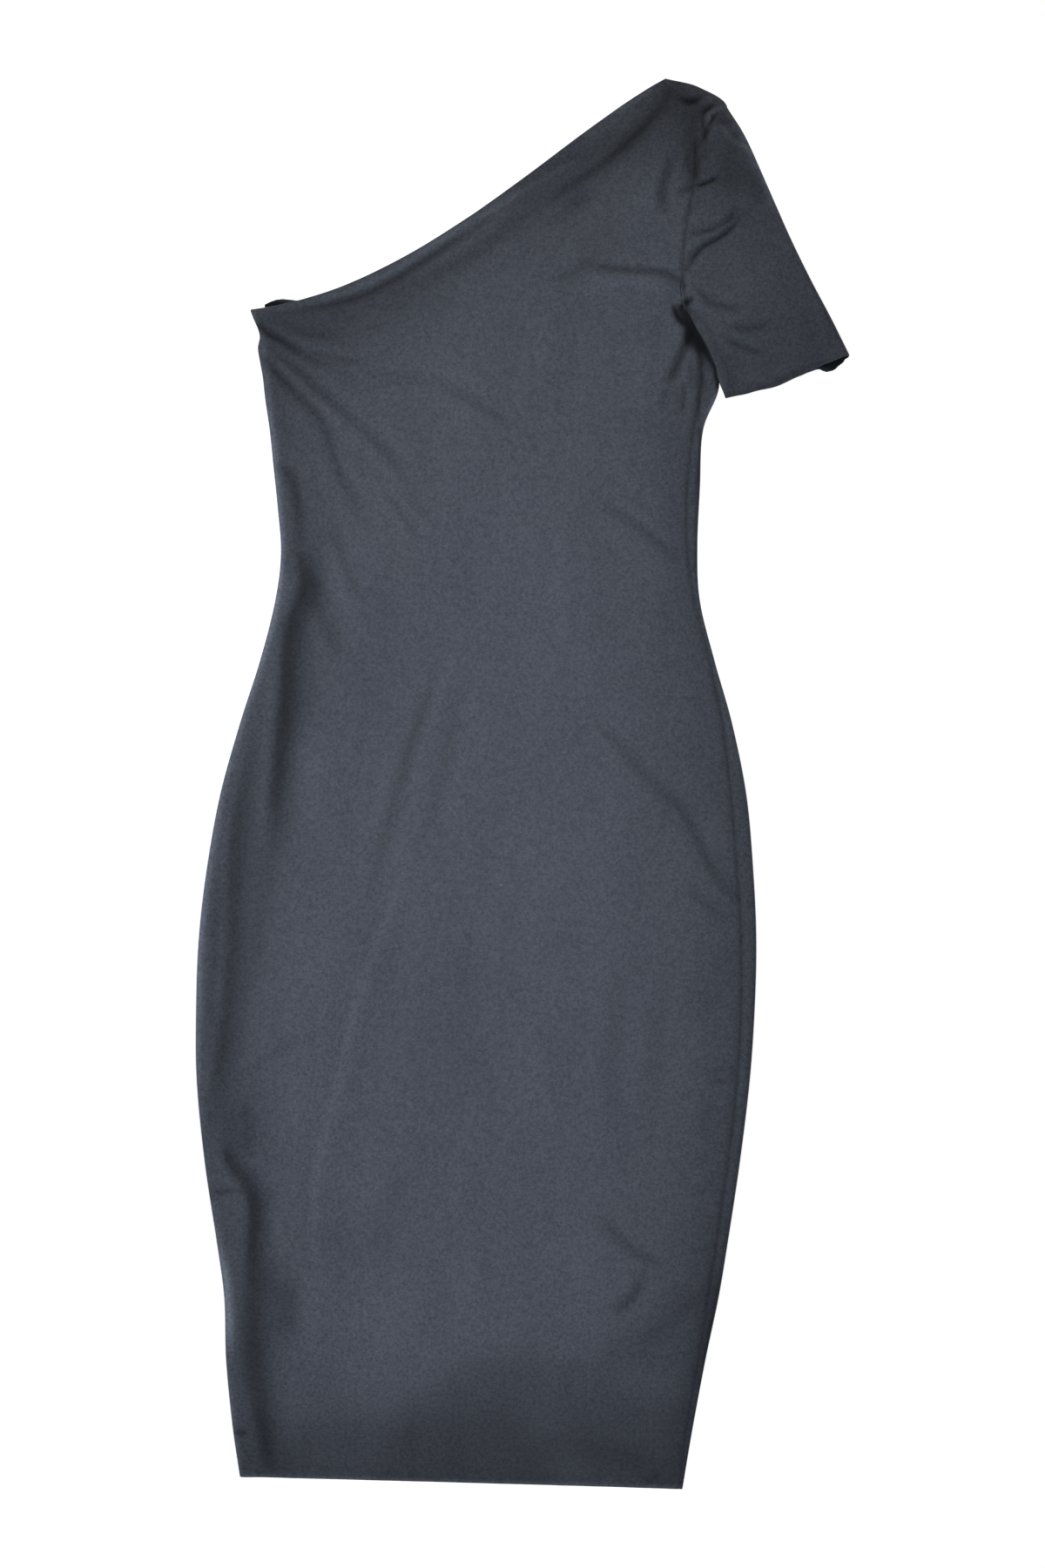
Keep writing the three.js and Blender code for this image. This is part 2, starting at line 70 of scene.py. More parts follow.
# %% [markdown]
# ## Smooth tables
# The dress is described by short tables, one row for each station along the body or the sleeve. A
# smooth curve through the rows gives every section in between, as a pattern cutter's curve would.

# %% Tables with named columns
def table(names, rows):
    """Rows of numbers under named columns."""
    return [dict(zip(names, row)) for row in rows]


def ease(t):
    """0 below 0, 1 above 1, and a soft step between."""
    t = np.clip(t, 0.0, 1.0)
    return t * t * (3.0 - 2.0 * t)


def mix(a, b, t):
    """The value that lies the share t of the way from a to b."""
    return a + (b - a) * t


def column(rows, name, t):
    """The named column at t, from 0 at the first row to 1 at the last, on a smooth curve."""
    v = np.array([row[name] for row in rows], float)
    v = np.concatenate([[2 * v[0] - v[1]], v, [2 * v[-1] - v[-2]]])
    place = np.clip(t, 0.0, 1.0) * (len(rows) - 1)
    row = np.minimum(np.floor(place).astype(int), len(rows) - 2)
    a, b, c, d = (v[row + k] for k in range(4))
    f = place - row
    return b + 0.5 * f * (c - a + f * (2 * a - 5 * b + 4 * c - d + f * (3 * (b - c) + d - a)))


# %% [markdown]
# ## The body's stations
# The body is one flattened tube. Its left and right outline points, the slope of the section at each,
# and the radius of the rounded edges are given from the hem to the neck. `turn` says how far the back
# panel comes round the right edge and `strip` how far it then lies on top up to the side seam, because
# the dress was laid down slightly twisted. At the armhole the tube is open, so the turn is 0 there.
# These are the CAD's own sizes, so the finer cloth lies where the solids are.

# %% Sizes of the body
CLOTH = 1.2  # two layers of jersey
SEAM_GAP = 0.3  # between two panels at their seam
LAYER_GAP = 0.35  # between two panels that lie on each other
REST = CLOTH / 2  # height of the middle of a wall that lies on the table
LOWEST = REST + CLOTH + LAYER_GAP  # height of one that lies on another
UNDER_STRIP = 9.0  # from the left edge to the left seam, underneath
BODY = table(["leftX", "leftY", "leftSlope", "leftFold", "rightX", "rightY", "rightSlope", "rightFold",
              "turn", "strip", "frontTurn"], [
    [-227, -555.5, -1.5, 1.5, 128.5, -565.5, -2, 1.1, 180, 1, 0],
    [-233, -514, -1, 1.7, 136.5, -518, -1, 1.2, 180, 2, 0],
    [-238, -462, 0, 1.95, 147, -462, 0, 1.3, 180, 3.5, 0],
    [-239.5, -412, 0, 1.9, 157.5, -412, 0, 1.4, 180, 6, 0],
    [-245.5, -367, 0, 2.2, 165, -367, 0, 1.5, 180, 6.5, 0],
    [-255, -304, 0, 2.5, 174.5, -304, 0, 1.6, 180, 7, 0],
    [-261.5, -238, 0, 2.6, 182.5, -238, 0, 1.6, 180, 7.5, 0],
    [-262, -180, 0, 2.7, 186.5, -180, 0, 1.6, 180, 8.5, 0],
    [-260, -126, 0, 2.7, 187.8, -126, 0, 1.6, 180, 9.5, 0],
    [-254, -72, 0, 2.6, 185.5, -72, 0, 1.6, 180, 10.5, 0],
    [-243, -10, 0, 2.5, 180, -10, 0, 1.6, 180, 10, 0],
    [-227, 48, 0, 2.3, 168.5, 48, 0, 1.5, 180, 5.5, 0],
    [-211, 98, 1, 2, 154.5, 98, 1, 1.3, 180, 2, 0],
    [-199, 145, 1, 1.7, 142.5, 147, 2, 1.2, 180, 2, 0],
    [-194, 184, 2, 1.7, 140.5, 190, 2, 1.3, 180, 6, 0],
    [-196.5, 221, 2, 1.65, 142.5, 238, 4, 1.4, 180, 8, 0],
    [-200, 255, 3, 1.65, 145, 284, 5, 1.4, 180, 5.5, 0],
    [-203, 284, 3, 1.65, 157.5, 317, 6, 1.4, 180, 12, 0],
    [-206.5, 308, 4, 1.65, 155.5, 347, 7, 1.3, 180, 10.5, 0],
    [-208.5, 326, 4, 1.7, 131.5, 382, 8, 1.2, 150, 0, 0],
    [-211, 340, 5, 1.7, 128.5, 416, 10, 1.3, 0, 0, 0],
    [-212.5, 350, 6, 1.65, 132, 450, 14, 1.5, 0, 0, 0],
    [-211, 358, 7, 1.6, 138, 482, 19, 1.7, 0, 0, 0],
    [-212, 364, 8, 1.65, 142.5, 512, 24, 2, 0, 0, 0],
    [-214, 369, 9, 1.8, 164.5, 541.5, 34, 2.3, 60, 0, 60],
    [-216, 373.5, 10, 1.8, 142.5, 558.5, 36, 2.4, 86, 0, 86],
    [-218.5, 380, 8, 1.9, 115.5, 565.5, 31, 2.4, 86, 0, 86],
])
LAST_STATION = len(BODY) - 1
UNDERARM_STATION = 19.2
SHOULDER_STATION = 24
SEAM_STATIONS = slice(0, 19)  # the side seam's rows
ARMHOLE_STATIONS = slice(19, 24)  # the armhole's rows
LEFT_PULL = 1.0  # how strongly a section keeps its slope at the left outline, and at the right one
RIGHT_PULL = 0.55
NECK_SWAY = {"height": 2.4, "stations": 6}  # the neck line's slight S
NECK_GAPE = {"behind": -2, "beyond": 5.5, "at": 22, "reach": 17, "stations": 3}  # back past the front

# %% [markdown]
# ## Folds
# Stretch jersey shows soft drag lines rather than sharp creases. They fan out from the points that
# hold the cloth: the left corner of the neck, the underarm, the shoulder and the hips. Each row below
# is one trough (rise below 0) or ridge, along a path of a few points. `width` is its half width,
# `lean` makes the side to the left of the path broader (above 0) or steeper (below 0), `sharp` is 2
# for a round bottom and nearer 1 for a crease, and `start` and `end` say how much is left at its ends.
# The swells are what the cloth does on a large scale, where air stays under it. `PRESSED` is where it
# was pressed flat: along the hem and the neck edge. Pressing lowers the cloth, but doesn't darken it.

# %% Fold table
STROKE = ["width", "lean", "sharp", "start", "end", "path"]  # how a fold, a shade or a seam runs
PLATEAU = 5.2  # height of the top layer, where nothing else acts on it
EDGE_REACH = 16.0  # how far in from an outline the plateau is reached
SWELLS = table(["where", "x", "y", "reachX", "reachY", "height"], [
    ["hem", -60, -600, 400, 110, -1.0],
    ["hips", -40, -110, 150, 260, 0.7],
    ["bust", 40, 330, 110, 90, 0.9],
    ["shoulder", 118, 500, 70, 60, 1.3],
    ["neck roll", 60, 525, 60, 28, 0.5],
    ["sleeve", 205, 415, 50, 75, 1.3],
    ["cuff", 230, 345, 40, 28, 0.8],
])
PRESSED = table(["name", "rise", *STROKE], [
    ["hem", -2.4, 10, 0, 2, 1, 1, [[-230, -557], [-100, -562], [0, -565], [130, -568]]],
    ["neck", -2.2, 8, 0, 2, 0, 0.2,
     [[-186, 386], [-165, 389], [-140, 398], [-100, 417], [-60, 443], [-20, 467], [40, 502], [75, 526],
      [105, 552]]],
])
FOLDS = table(["name", "rise", *STROKE], [
    # Left side, from the waist down
    ["waist valley", -5.0, 10, 0.3, 1.6, 0, 0,
     [[-181, 226], [-180, 207], [-180, 190], [-177, 176], [-174, 163], [-178, 148], [-184, 130],
      [-188, 104], [-190, 70], [-193, 42], [-196, 14], [-199, -14], [-200, -42], [-203, -75],
      [-205, -105]]],
    ["waist valley, head", -2.6, 6, 0, 1.8, 0.4, 0.3,
     [[-197, 254], [-190, 250], [-185, 240], [-182, 228], [-180, 214], [-180, 199]]],
    ["waist valley, branch", -1.6, 8, 0.2, 1.8, 0.3, 0,
     [[-178, 154], [-164, 140], [-154, 116], [-146, 91]]],
    ["left hip trough", -2.4, 9, 0.6, 2, 0.1, 0.4,
     [[-205, 75], [-217, 28], [-229, -28], [-233, -84], [-234, -140], [-238, -185], [-242, -218],
      [-247, -245], [-249, -268]]],
    ["left hip branch", -0.8, 5, 0, 2, 0.6, 0, [[-225, -234], [-200, -217], [-174, -200]]],
    ["left hem trough", -4.4, 7, 0.3, 1.5, 0.2, 0.2,
     [[-240, -284], [-239, -290], [-238, -297], [-234, -307], [-228, -315], [-221, -323], [-217, -334],
      [-216, -352], [-218, -372], [-218, -386], [-217, -400]]],
    ["left hem trough, lower", -2.5, 12, 0.2, 2, 0, 0.6,
     [[-214, -362], [-216, -385], [-218, -415], [-219, -448], [-216, -475], [-212, -500], [-209, -520],
      [-207, -535], [-206, -550]]],
    ["left hem trough, foot", -2.0, 5, 0, 1.8, 0, 0.4,
     [[-213, -486], [-209, -515], [-207, -531], [-203, -545]]],
    ["left hem bulge", 0.9, 7, 0, 2, 0, 0, [[-237, -312], [-234, -336], [-237, -364]]],
    ["left hem lobe", -0.8, 8, 0, 2, 0, 0, [[-194, -395], [-189, -420], [-190, -445]]],
    ["left hem crossing", -2.8, 3.5, 0, 2, 0.5, 0.5, [[-247, -326], [-238, -328], [-227, -328]]],
    ["left hem nick", -2.2, 2.6, 0, 1.6, 0.8, 0, [[-231, -519], [-222, -520]]],
    # Neck edge and left corner
    ["neck roll, left", -2.8, 4, 0, 1.5, 0.2, 0.2,
     [[-195, 378], [-172, 382], [-145, 387], [-119, 396], [-77, 421], [-49, 439], [-25, 455]]],
    ["neck roll, right", -2.8, 5.5, -0.1, 1.4, 0, 0.8,
     [[0, 443], [23, 467], [38, 479], [56, 491], [72, 502], [88, 516], [101, 530], [113, 544],
      [118, 554]]],
    ["neck roll, branch", -0.9, 6, 0, 2, 0, 0, [[37, 461], [48, 470], [57, 478]]],
    ["left corner gully", -4.8, 4.5, 0, 1.4, 1, 0.5,
     [[-212, 367], [-203, 360], [-195, 356], [-182, 349]]],
    ["left corner gully, right of it", -1.8, 4, 0, 1.7, 0.6, 0,
     [[-188, 350], [-180, 345.5], [-172, 341], [-162, 337], [-144, 334.5]]],
    ["left corner gully, second line", -1.1, 2.6, 0, 1.8, 0, 0.2,
     [[-178, 347], [-160, 343], [-139, 339], [-122, 332]]],
    ["left corner, short line", -0.9, 3, 0, 2, 0, 0, [[-134, 363], [-120, 366], [-108, 370]]],
    ["left corner, upper line", -1.4, 4.5, 0, 1.7, 0.5, 0,
     [[-200, 375], [-186, 364], [-165, 360], [-140, 359]]],
    ["left corner sweep, start", -0.6, 6, 0, 2, 0.3, 0.3, [[-118, 328], [-91, 325], [-68, 322]]],
    ["left corner sweep", -1.2, 5, 0.2, 1.8, 0, 0, [[-75, 325], [-47, 310], [-23, 295], [-7, 286]]],
    ["left corner ridge", 1.0, 4, 0, 2, 0.3, 0, [[-196, 360], [-182, 353], [-163, 350], [-140, 343]]],
    # Fan of drag lines from the left corner
    ["fan 1", -1.9, 4.8, -0.2, 1.6, 1, 0,
     [[-208, 341], [-197.5, 329], [-188.5, 320], [-180, 310], [-171, 301], [-161, 289], [-156, 275],
      [-152, 261], [-146, 247], [-138, 231], [-131, 217], [-124, 205]]],
    ["fan 2", -1.4, 4.8, 0.2, 1.8, 0.6, 0,
     [[-202, 349], [-190, 338.5], [-180, 330], [-170, 320], [-160, 311], [-144, 297], [-128, 282.5],
      [-117, 272], [-106, 261], [-99, 250], [-91, 238], [-80, 222]]],
    ["fan 3", -1.7, 3, 0, 1.7, 0, 0.2,
     [[-117, 238], [-106, 227], [-97.5, 216], [-89, 204.5], [-81, 194]]],
    ["fan 4", -1.2, 6, 0, 2, 0, 0, [[-158, 208], [-148, 190], [-140, 166], [-126, 138]]],
    ["fan 5", -0.9, 7, 0, 2, 0.6, 0, [[-204, 322], [-192, 288], [-184, 256]]],
    ["fan 6", -0.8, 4, 0, 2, 0, 0, [[-98, 240], [-77, 208]]],
    ["fan ridge 1", 1.1, 4, 0, 2, 0.3, 0,
     [[-196, 337], [-182, 322], [-169, 309], [-155, 296], [-142, 280]]],
    ["fan ridge 2", 0.6, 4.5, 0, 2, 0, 0, [[-176, 335], [-160, 322], [-142, 308], [-122, 290]]],
    # Bust and underarm
    ["bust crease", -3.0, 4.2, 0.4, 1.4, 1, 0.2,
     [[129, 400], [124, 405], [110, 411], [85, 412], [65, 415], [52, 418]]],
    ["bust crease, upper", -1.3, 5, 0.3, 1.8, 0, 0, [[62, 424], [50, 417], [35, 407], [20, 400]]],
    ["bust crease, lower", -0.7, 6, 0, 2, 0, 0, [[94, 399], [82, 400], [69, 402]]],
    ["bust ridge", 1.2, 7, 0, 2, 0.6, 0, [[124, 394], [100, 403], [76, 404], [50, 400]]],
    ["by the armhole", -2.3, 4.8, 0, 2, 0, 0,
     [[124, 510], [119, 496], [114, 481], [113, 467], [117, 450]]],
    ["below the underarm 1", -3.5, 4.4, 0, 1.8, 1, 0,
     [[133, 357], [130, 349], [125, 337], [120.5, 327], [116, 318]]],
    ["below the underarm 2", -0.6, 5, 0, 2, 0, 0, [[108, 372], [106, 356]]],
    ["below the underarm 3", -1.3, 4, 0, 2, 0, 0, [[118, 321], [114.5, 310], [111, 298]]],
    ["below the underarm 4", -2.0, 2.3, 0, 2, 0, 0, [[130, 326], [130, 315], [129.5, 305], [127.5, 294]]],
    ["below the underarm 6", -1.3, 2.4, 0, 2, 0, 0, [[123, 323], [124.5, 312], [125, 301]]],
    ["below the underarm 5", -1.0, 3, 0, 2, 0, 0, [[136, 345], [136, 330], [137, 312]]],
    ["underarm knot", -2.8, 2.6, 0, 1.6, 0.8, 0.5, [[127, 380], [131, 384.5], [136, 388.5]]],
    ["underarm finger", -2.2, 2.6, 0, 1.8, 0.4, 1, [[121, 384], [123, 377], [127, 371]]],
    ["underarm pocket", -3.2, 6, 0, 1.8, 0.8, 0.3, [[131, 382], [136, 366], [143, 352], [150, 336]]],
    # Shoulder and sleeve head
    ["shoulder tuck", -5.6, 3.3, 0, 1.5, 0.4, 0.4, [[127, 549], [132, 547.4], [138, 548], [145, 550.5]]],
    ["shoulder tuck, outer", -5.6, 3.5, 0, 1.5, 0.5, 0.4,
     [[145.5, 538.5], [149.5, 541.6], [155.5, 544.4]]],
    ["shoulder gully", -2.4, 10, 0, 2, 0.3, 0.5,
     [[125, 561], [137, 546], [140, 533], [138, 514], [139, 490], [140, 481]]],
    ["shoulder gully, core", -1.9, 2.6, 0, 1.5, 0, 0.9,
     [[138.5, 521], [139.5, 508], [140, 497], [139.5, 486]]],
    ["by the armhole, near", -1.2, 3, 0, 2, 0, 0.5, [[132, 509], [133, 497], [137, 487]]],
    ["sleeve head crease", -3.4, 2.2, 0, 1.6, 0.3, 0,
     [[162, 539.5], [155, 536], [151, 530], [148, 521], [145, 511]]],
    ["sleeve head crease, left", -3.0, 1.8, 0, 1.6, 0.4, 0, [[145.5, 536], [146, 524], [148.5, 513]]],
    ["sleeve head tuck", -5.2, 2.2, 0, 1.5, 0.7, 0.3, [[142, 480], [149, 482], [158, 486.5]]],
    ["sleeve head gully", -0.6, 5, 0, 1.8, 0, 0, [[152, 520], [149, 508], [146, 495]]],
    ["sleeve head ridge 1", 1.7, 2.4, 0, 1.8, 0.3, 0,
     [[164, 542.5], [155, 539.8], [150.3, 536.3], [148.8, 527]]],
    ["sleeve head ridge 2", 1.5, 2.4, 0, 1.8, 0, 0.4,
     [[155, 528], [162, 523], [168.5, 516.5], [176, 511.5], [181, 508]]],
    ["sleeve head hollow", -3.2, 3.2, 0, 1.8, 0.4, 0.4, [[156, 533], [163, 531], [169, 530]]],
    # Sleeve
    ["sleeve drag, lower", -4.2, 3, 0.3, 1.4, 0.4, 0,
     [[133, 413], [138, 422], [146, 431], [159, 438], [170, 447], [179, 460]]],
    ["sleeve drag, upper", -3.4, 2.8, 0.2, 1.5, 0.5, 0, [[137, 441], [153, 444], [166, 452], [177, 465]]],
    ["sleeve drag ridge", 1.1, 3, 0, 2, 0.3, 0, [[137, 431], [155, 442], [169, 452]]],
    ["armhole pucker 1", -2.6, 2.4, 0, 1.6, 0.5, 0.5, [[125, 474], [132, 476], [138, 479]]],
    ["armhole pucker 2", -1.3, 2.6, 0, 1.6, 0.8, 0, [[135, 459], [143, 465]]],
    ["armhole pucker 3", -0.7, 2.6, 0, 1.6, 0.8, 0, [[131, 436], [138, 439]]],
    ["underarm sleeve drag 1", -2.2, 3.4, 0, 1.8, 0.5, 0,
     [[139, 397], [146, 391.5], [152, 386.5], [160, 383.5], [170, 381], [184, 378]]],
    ["underarm sleeve drag 2", -2.0, 3, 0, 1.8, 0, 0, [[160, 358.5], [171, 353], [184, 348], [201, 343]]],
    ["underarm sleeve drag 3", -1.9, 3.6, 0, 2, 0, 0, [[163, 368], [183, 365], [205, 370]]],
    # Right side
    ["waist crease, right", -1.8, 4.5, -0.3, 1.5, 0, 0.5,
     [[56, 232], [74, 219], [95, 206], [111, 192], [124, 181]]],
    ["hip drag, right", -1.8, 5, 0.4, 1.4, 0, 0.7,
     [[52, 58], [62, 47], [72, 36], [86, 20], [100, 5], [114, -9], [130, -24], [143, -50], [157, -76],
      [172, -93]]],
    ["hip drag, second", -1.2, 5, 0.2, 1.6, 0, 0.7, [[128, -79], [148, -97], [162, -110]]],
    ["seam pucker 1", -1.9, 2.6, 0, 1.7, 0, 1, [[140, -226], [152, -232], [162, -227], [170, -228]]],
    ["seam pucker 2", -2.0, 2.6, 0, 1.7, 0, 1, [[144, -236], [153, -240], [163, -237], [171, -236]]],
    ["seam pucker 3", -1.2, 3, 0, 1.7, 0, 0.8, [[132, -376], [145, -373], [153, -370]]],
    ["seam pucker 4", -1.0, 3, 0, 1.7, 0, 0.8, [[138, -330], [152, -322]]],
    ["hem drag, right", -1.8, 5, -0.3, 1.5, 0, 0,
     [[56, -341], [71, -356], [87, -372], [103, -382], [118, -390]]],
    ["hem drag, hook", -2.2, 5, 0, 1.7, 0.3, 0, [[96, -393], [89, -412], [70, -426]]],
    ["hem corner", -1.6, 4, 0, 1.6, 0.9, 0, [[101, -561], [111, -553]]],
    # Long soft ridges and hollows of the skirt
    ["skirt ridge", 1.0, 5, 0.3, 1.7, 0, 0,
     [[-59, 14], [-76, -32], [-87, -56], [-112, -112], [-133, -175], [-140, -210], [-150, -250],
      [-162, -290], [-167, -320], [-169, -360], [-162, -400], [-155, -425]]],
    ["skirt step", -0.5, 13, 0.5, 2, 0, 0, [[-44, -108], [-54, -180], [-62, -250]]],
    ["skirt step, low", -0.5, 12, 0, 2, 0, 0, [[-98, -300], [-112, -345], [-118, -395]]],
    ["skirt spot", -1.2, 5, 0, 2, 0, 0, [[-48, -118], [-40, -128]]],
    ["skirt streak 1", -1.3, 6, 0, 2, 0, 0, [[-60, 115], [-80, 60], [-98, 5], [-112, -50], [-126, -112]]],
    ["skirt streak 2", -0.9, 6, 0, 2, 0, 0,
     [[-40, 110], [-58, 40], [-68, -10], [-84, -55], [-108, -115]]],
    ["skirt streak ridge", 0.5, 5, 0, 2, 0, 0, [[-50, 115], [-70, 66], [-87, 7]]],
    ["skirt streak, right 1", -0.6, 9, 0, 2, 0, 0, [[85, -133], [76, -182], [70, -238], [70, -294]]],
    ["skirt streak, right 2", -0.5, 8, 0, 2, 0, 0, [[119, -133], [108, -196], [106, -266]]],
    ["skirt streak, low", -0.7, 4, 0, 2, 0, 0, [[-35, -380], [-22, -402]]],
    ["waist streak", 0.5, 5, 0, 2, 0, 0, [[28, 231], [31, 160], [34, 91]]],
])
print(len(FOLDS), "folds on the top side")

# %% [markdown]
# ## Height of the cloth
# The height of the top layer is a plateau, broad swells and the folds. Beside each trough the cloth
# rises a little, as it does when it is pushed together. Where a trough is deep, the front comes to rest
# on the back panel instead of passing through it. A faint unevenness, never the same twice along the
# dress, stands for the small hollows that any cloth keeps.

# %% Relief of the top layer
FOLD_SHOULDER = 0.3  # height of the rise beside a trough, as a share of its depth
FOLD_SHOULDER_REACH = 2.3  # its reach, in widths
FOLD_REACH = 5.5  # widths from its line at which a fold has faded away
FOLD_ENDS = 0.3  # share of a fold's length over which it fades
FOLD_BOTTOM = 0.12  # rounds the very bottom of a crease
DRIFT_LENGTH = 2.7  # waves of unevenness waver over so many of their own lengths
DRIFT = 1.7
LANDING = 0.35  # how softly a trough comes to rest on the panel below it
LANDING_PLAY = 0.1  # how much closer a seam's groove may press it
FAR = 1e9
UNEVEN = table(
    ["height", "length", "heading"],
    [[0.16, 61, 20], [0.13, 43, 105], [0.10, 29, 160], [0.08, 19, 62], [0.06, 13, 128]],
)


def smooth_path(points, steps=4):
    """A finer polyline through the same points."""
    rows = [{"x": x, "y": y} for x, y in points]
    t = np.linspace(0.0, 1.0, steps * (len(rows) - 1) + 1)
    return np.stack([column(rows, "x", t), column(rows, "y", t)], axis=1)


def line_share(row, x, y, shoulder=0.0):
    """1 on the row's line, fading to its sides and its ends, less its raised shoulders."""
    path = smooth_path(row["path"])
    reach = FOLD_REACH * row["width"] * (1 + abs(row["lean"]))
    near = ((x > path[:, 0].min() - reach) & (x < path[:, 0].max() + reach)
            & (y > path[:, 1].min() - reach) & (y < path[:, 1].max() + reach))
    share = np.zeros(x.shape)
    x, y = x[near], y[near]
    nearest = np.full(x.shape, FAR)
    along = np.zeros(x.shape)
    side = np.zeros(x.shape)
    for i in range(len(path) - 1):
        (ax, ay), (bx, by) = path[i], path[i + 1]
        dx, dy = bx - ax, by - ay
        t = np.clip(((x - ax) * dx + (y - ay) * dy) / (dx * dx + dy * dy), 0.0, 1.0)
        px, py = x - ax - t * dx, y - ay - t * dy
        distance = np.hypot(px, py)
        closer = distance < nearest
        nearest = np.where(closer, distance, nearest)
        along = np.where(closer, (i + t) / (len(path) - 1), along)
        side = np.where(closer, (dx * py - dy * px) / math.hypot(dx, dy), side)
    fade = (mix(row["start"], 1.0, ease(along / FOLD_ENDS))
            * mix(row["end"], 1.0, ease((1 - along) / FOLD_ENDS)))
    lean = 1.0 + row["lean"] * np.tanh(side / row["width"])
    across = nearest / (row["width"] * lean)
    bottom = np.exp(-np.hypot(across, FOLD_BOTTOM) ** row["sharp"])
    share[near] = fade * (bottom - shoulder * np.exp(-(across / FOLD_SHOULDER_REACH) ** 2))
    return share


def fold_height(x, y):
    """What the folds alone add to the height in mm."""
    z = np.zeros(x.shape)
    for fold in FOLDS:
        z += fold["rise"] / (1 - FOLD_SHOULDER) * line_share(fold, x, y, FOLD_SHOULDER)
    return z


def relief(x, y):
    """Height in mm of the middle of the top wall over the table, away from the edges."""
    z = PLATEAU + fold_height(x, y)
    for row in PRESSED:
        z += row["rise"] * line_share(row, x, y)
    for s in SWELLS:
        z += s["height"] * np.exp(-((x - s["x"]) / s["reachX"]) ** 2 - ((y - s["y"]) / s["reachY"]) ** 2)
    for n, u in enumerate(UNEVEN):
        angle = math.radians(u["heading"])
        run = (x * math.cos(angle) + y * math.sin(angle)) / u["length"]
        drift = (y * math.cos(angle) - x * math.sin(angle)) / (DRIFT_LENGTH * u["length"])
        z += u["height"] * np.sin(2 * math.pi * run + DRIFT * np.sin(2 * math.pi * drift + n))
    return LOWEST + LANDING * np.logaddexp(0.0, (z - LOWEST) / LANDING)


# %% [markdown]
# ## Creases of the underside
# The back panel lies on the table, which presses it flat, but the folds that it was picked up with stay
# in it as soft dents. They are hidden when the dress lies, so their places are a guess: they fan out
# from the same corners as the front's, and differ in length, height and spacing. A dent is never higher
# than the room that the front leaves over it.

# %% Dents of the underside
DENT_ROOM = 0.6  # share of the room under the front that a dent may take
UNDER_FOLDS = table(["name", "rise", *STROKE], [
    ["back fan 1", 1.5, 6, 0.2, 1.6, 0.3, 0, [[-188, 348], [-160, 322], [-128, 286], [-104, 250]]],
    ["back fan 2", 1.2, 5, 0, 1.7, 0, 0, [[-186, 318], [-172, 276], [-150, 228]]],
    ["back fan 3", 0.9, 6, 0, 2, 0, 0, [[-150, 356], [-96, 344], [-40, 318]]],
    ["back waist drag", 1.6, 7, -0.2, 1.6, 0, 0, [[118, 262], [84, 236], [40, 222], [-6, 214]]],
    ["back waist drag, low", 1.1, 6, 0, 1.8, 0, 0, [[-166, 168], [-120, 150], [-66, 148]]],
    ["seat drag, right", 1.7, 7, 0.3, 1.6, 0, 0.3, [[40, 62], [84, 22], [124, -30], [150, -84]]],
    ["seat drag, left", 1.3, 8, -0.2, 1.7, 0, 0, [[-92, 40], [-136, -6], [-176, -72], [-196, -130]]],
    ["back skirt fold 1", 1.4, 9, 0, 2, 0, 0, [[-30, -60], [-52, -170], [-60, -290], [-48, -390]]],
    ["back skirt fold 2", 1.0, 7, 0.2, 2, 0, 0, [[70, -120], [84, -230], [76, -330]]],
    ["back skirt fold 3", 1.2, 7, 0, 1.8, 0, 0, [[-168, -236], [-160, -330], [-172, -430]]],
    ["back hem drag", 1.3, 6, 0, 1.7, 0, 0, [[24, -402], [66, -440], [104, -498]]],
    ["back underarm drag", 1.4, 5, 0, 1.6, 0.2, 0, [[104, 392], [70, 384], [28, 392], [-10, 412]]],
    ["back shoulder drag", 1.1, 6, 0, 1.8, 0, 0, [[104, 508], [78, 478], [58, 440]]],
    ["sleeve back drag 1", 1.0, 5, 0, 1.7, 0, 0, [[158, 470], [184, 440], [204, 404]]],
    ["sleeve back drag 2", 0.8, 5, 0, 1.8, 0, 0, [[176, 372], [204, 366], [232, 356]]],
])


def dent_height(x, y):
    """How far in mm the underside stands off the table, where nothing lies in the way."""
    z = np.zeros(x.shape)
    for fold in UNDER_FOLDS:
        z += fold["rise"] * line_share(fold, x, y)
    return np.clip(z, 0.0, np.maximum(0.0, DENT_ROOM * (relief(x, y) - LOWEST)))


print(len(UNDER_FOLDS), "dents on the underside")
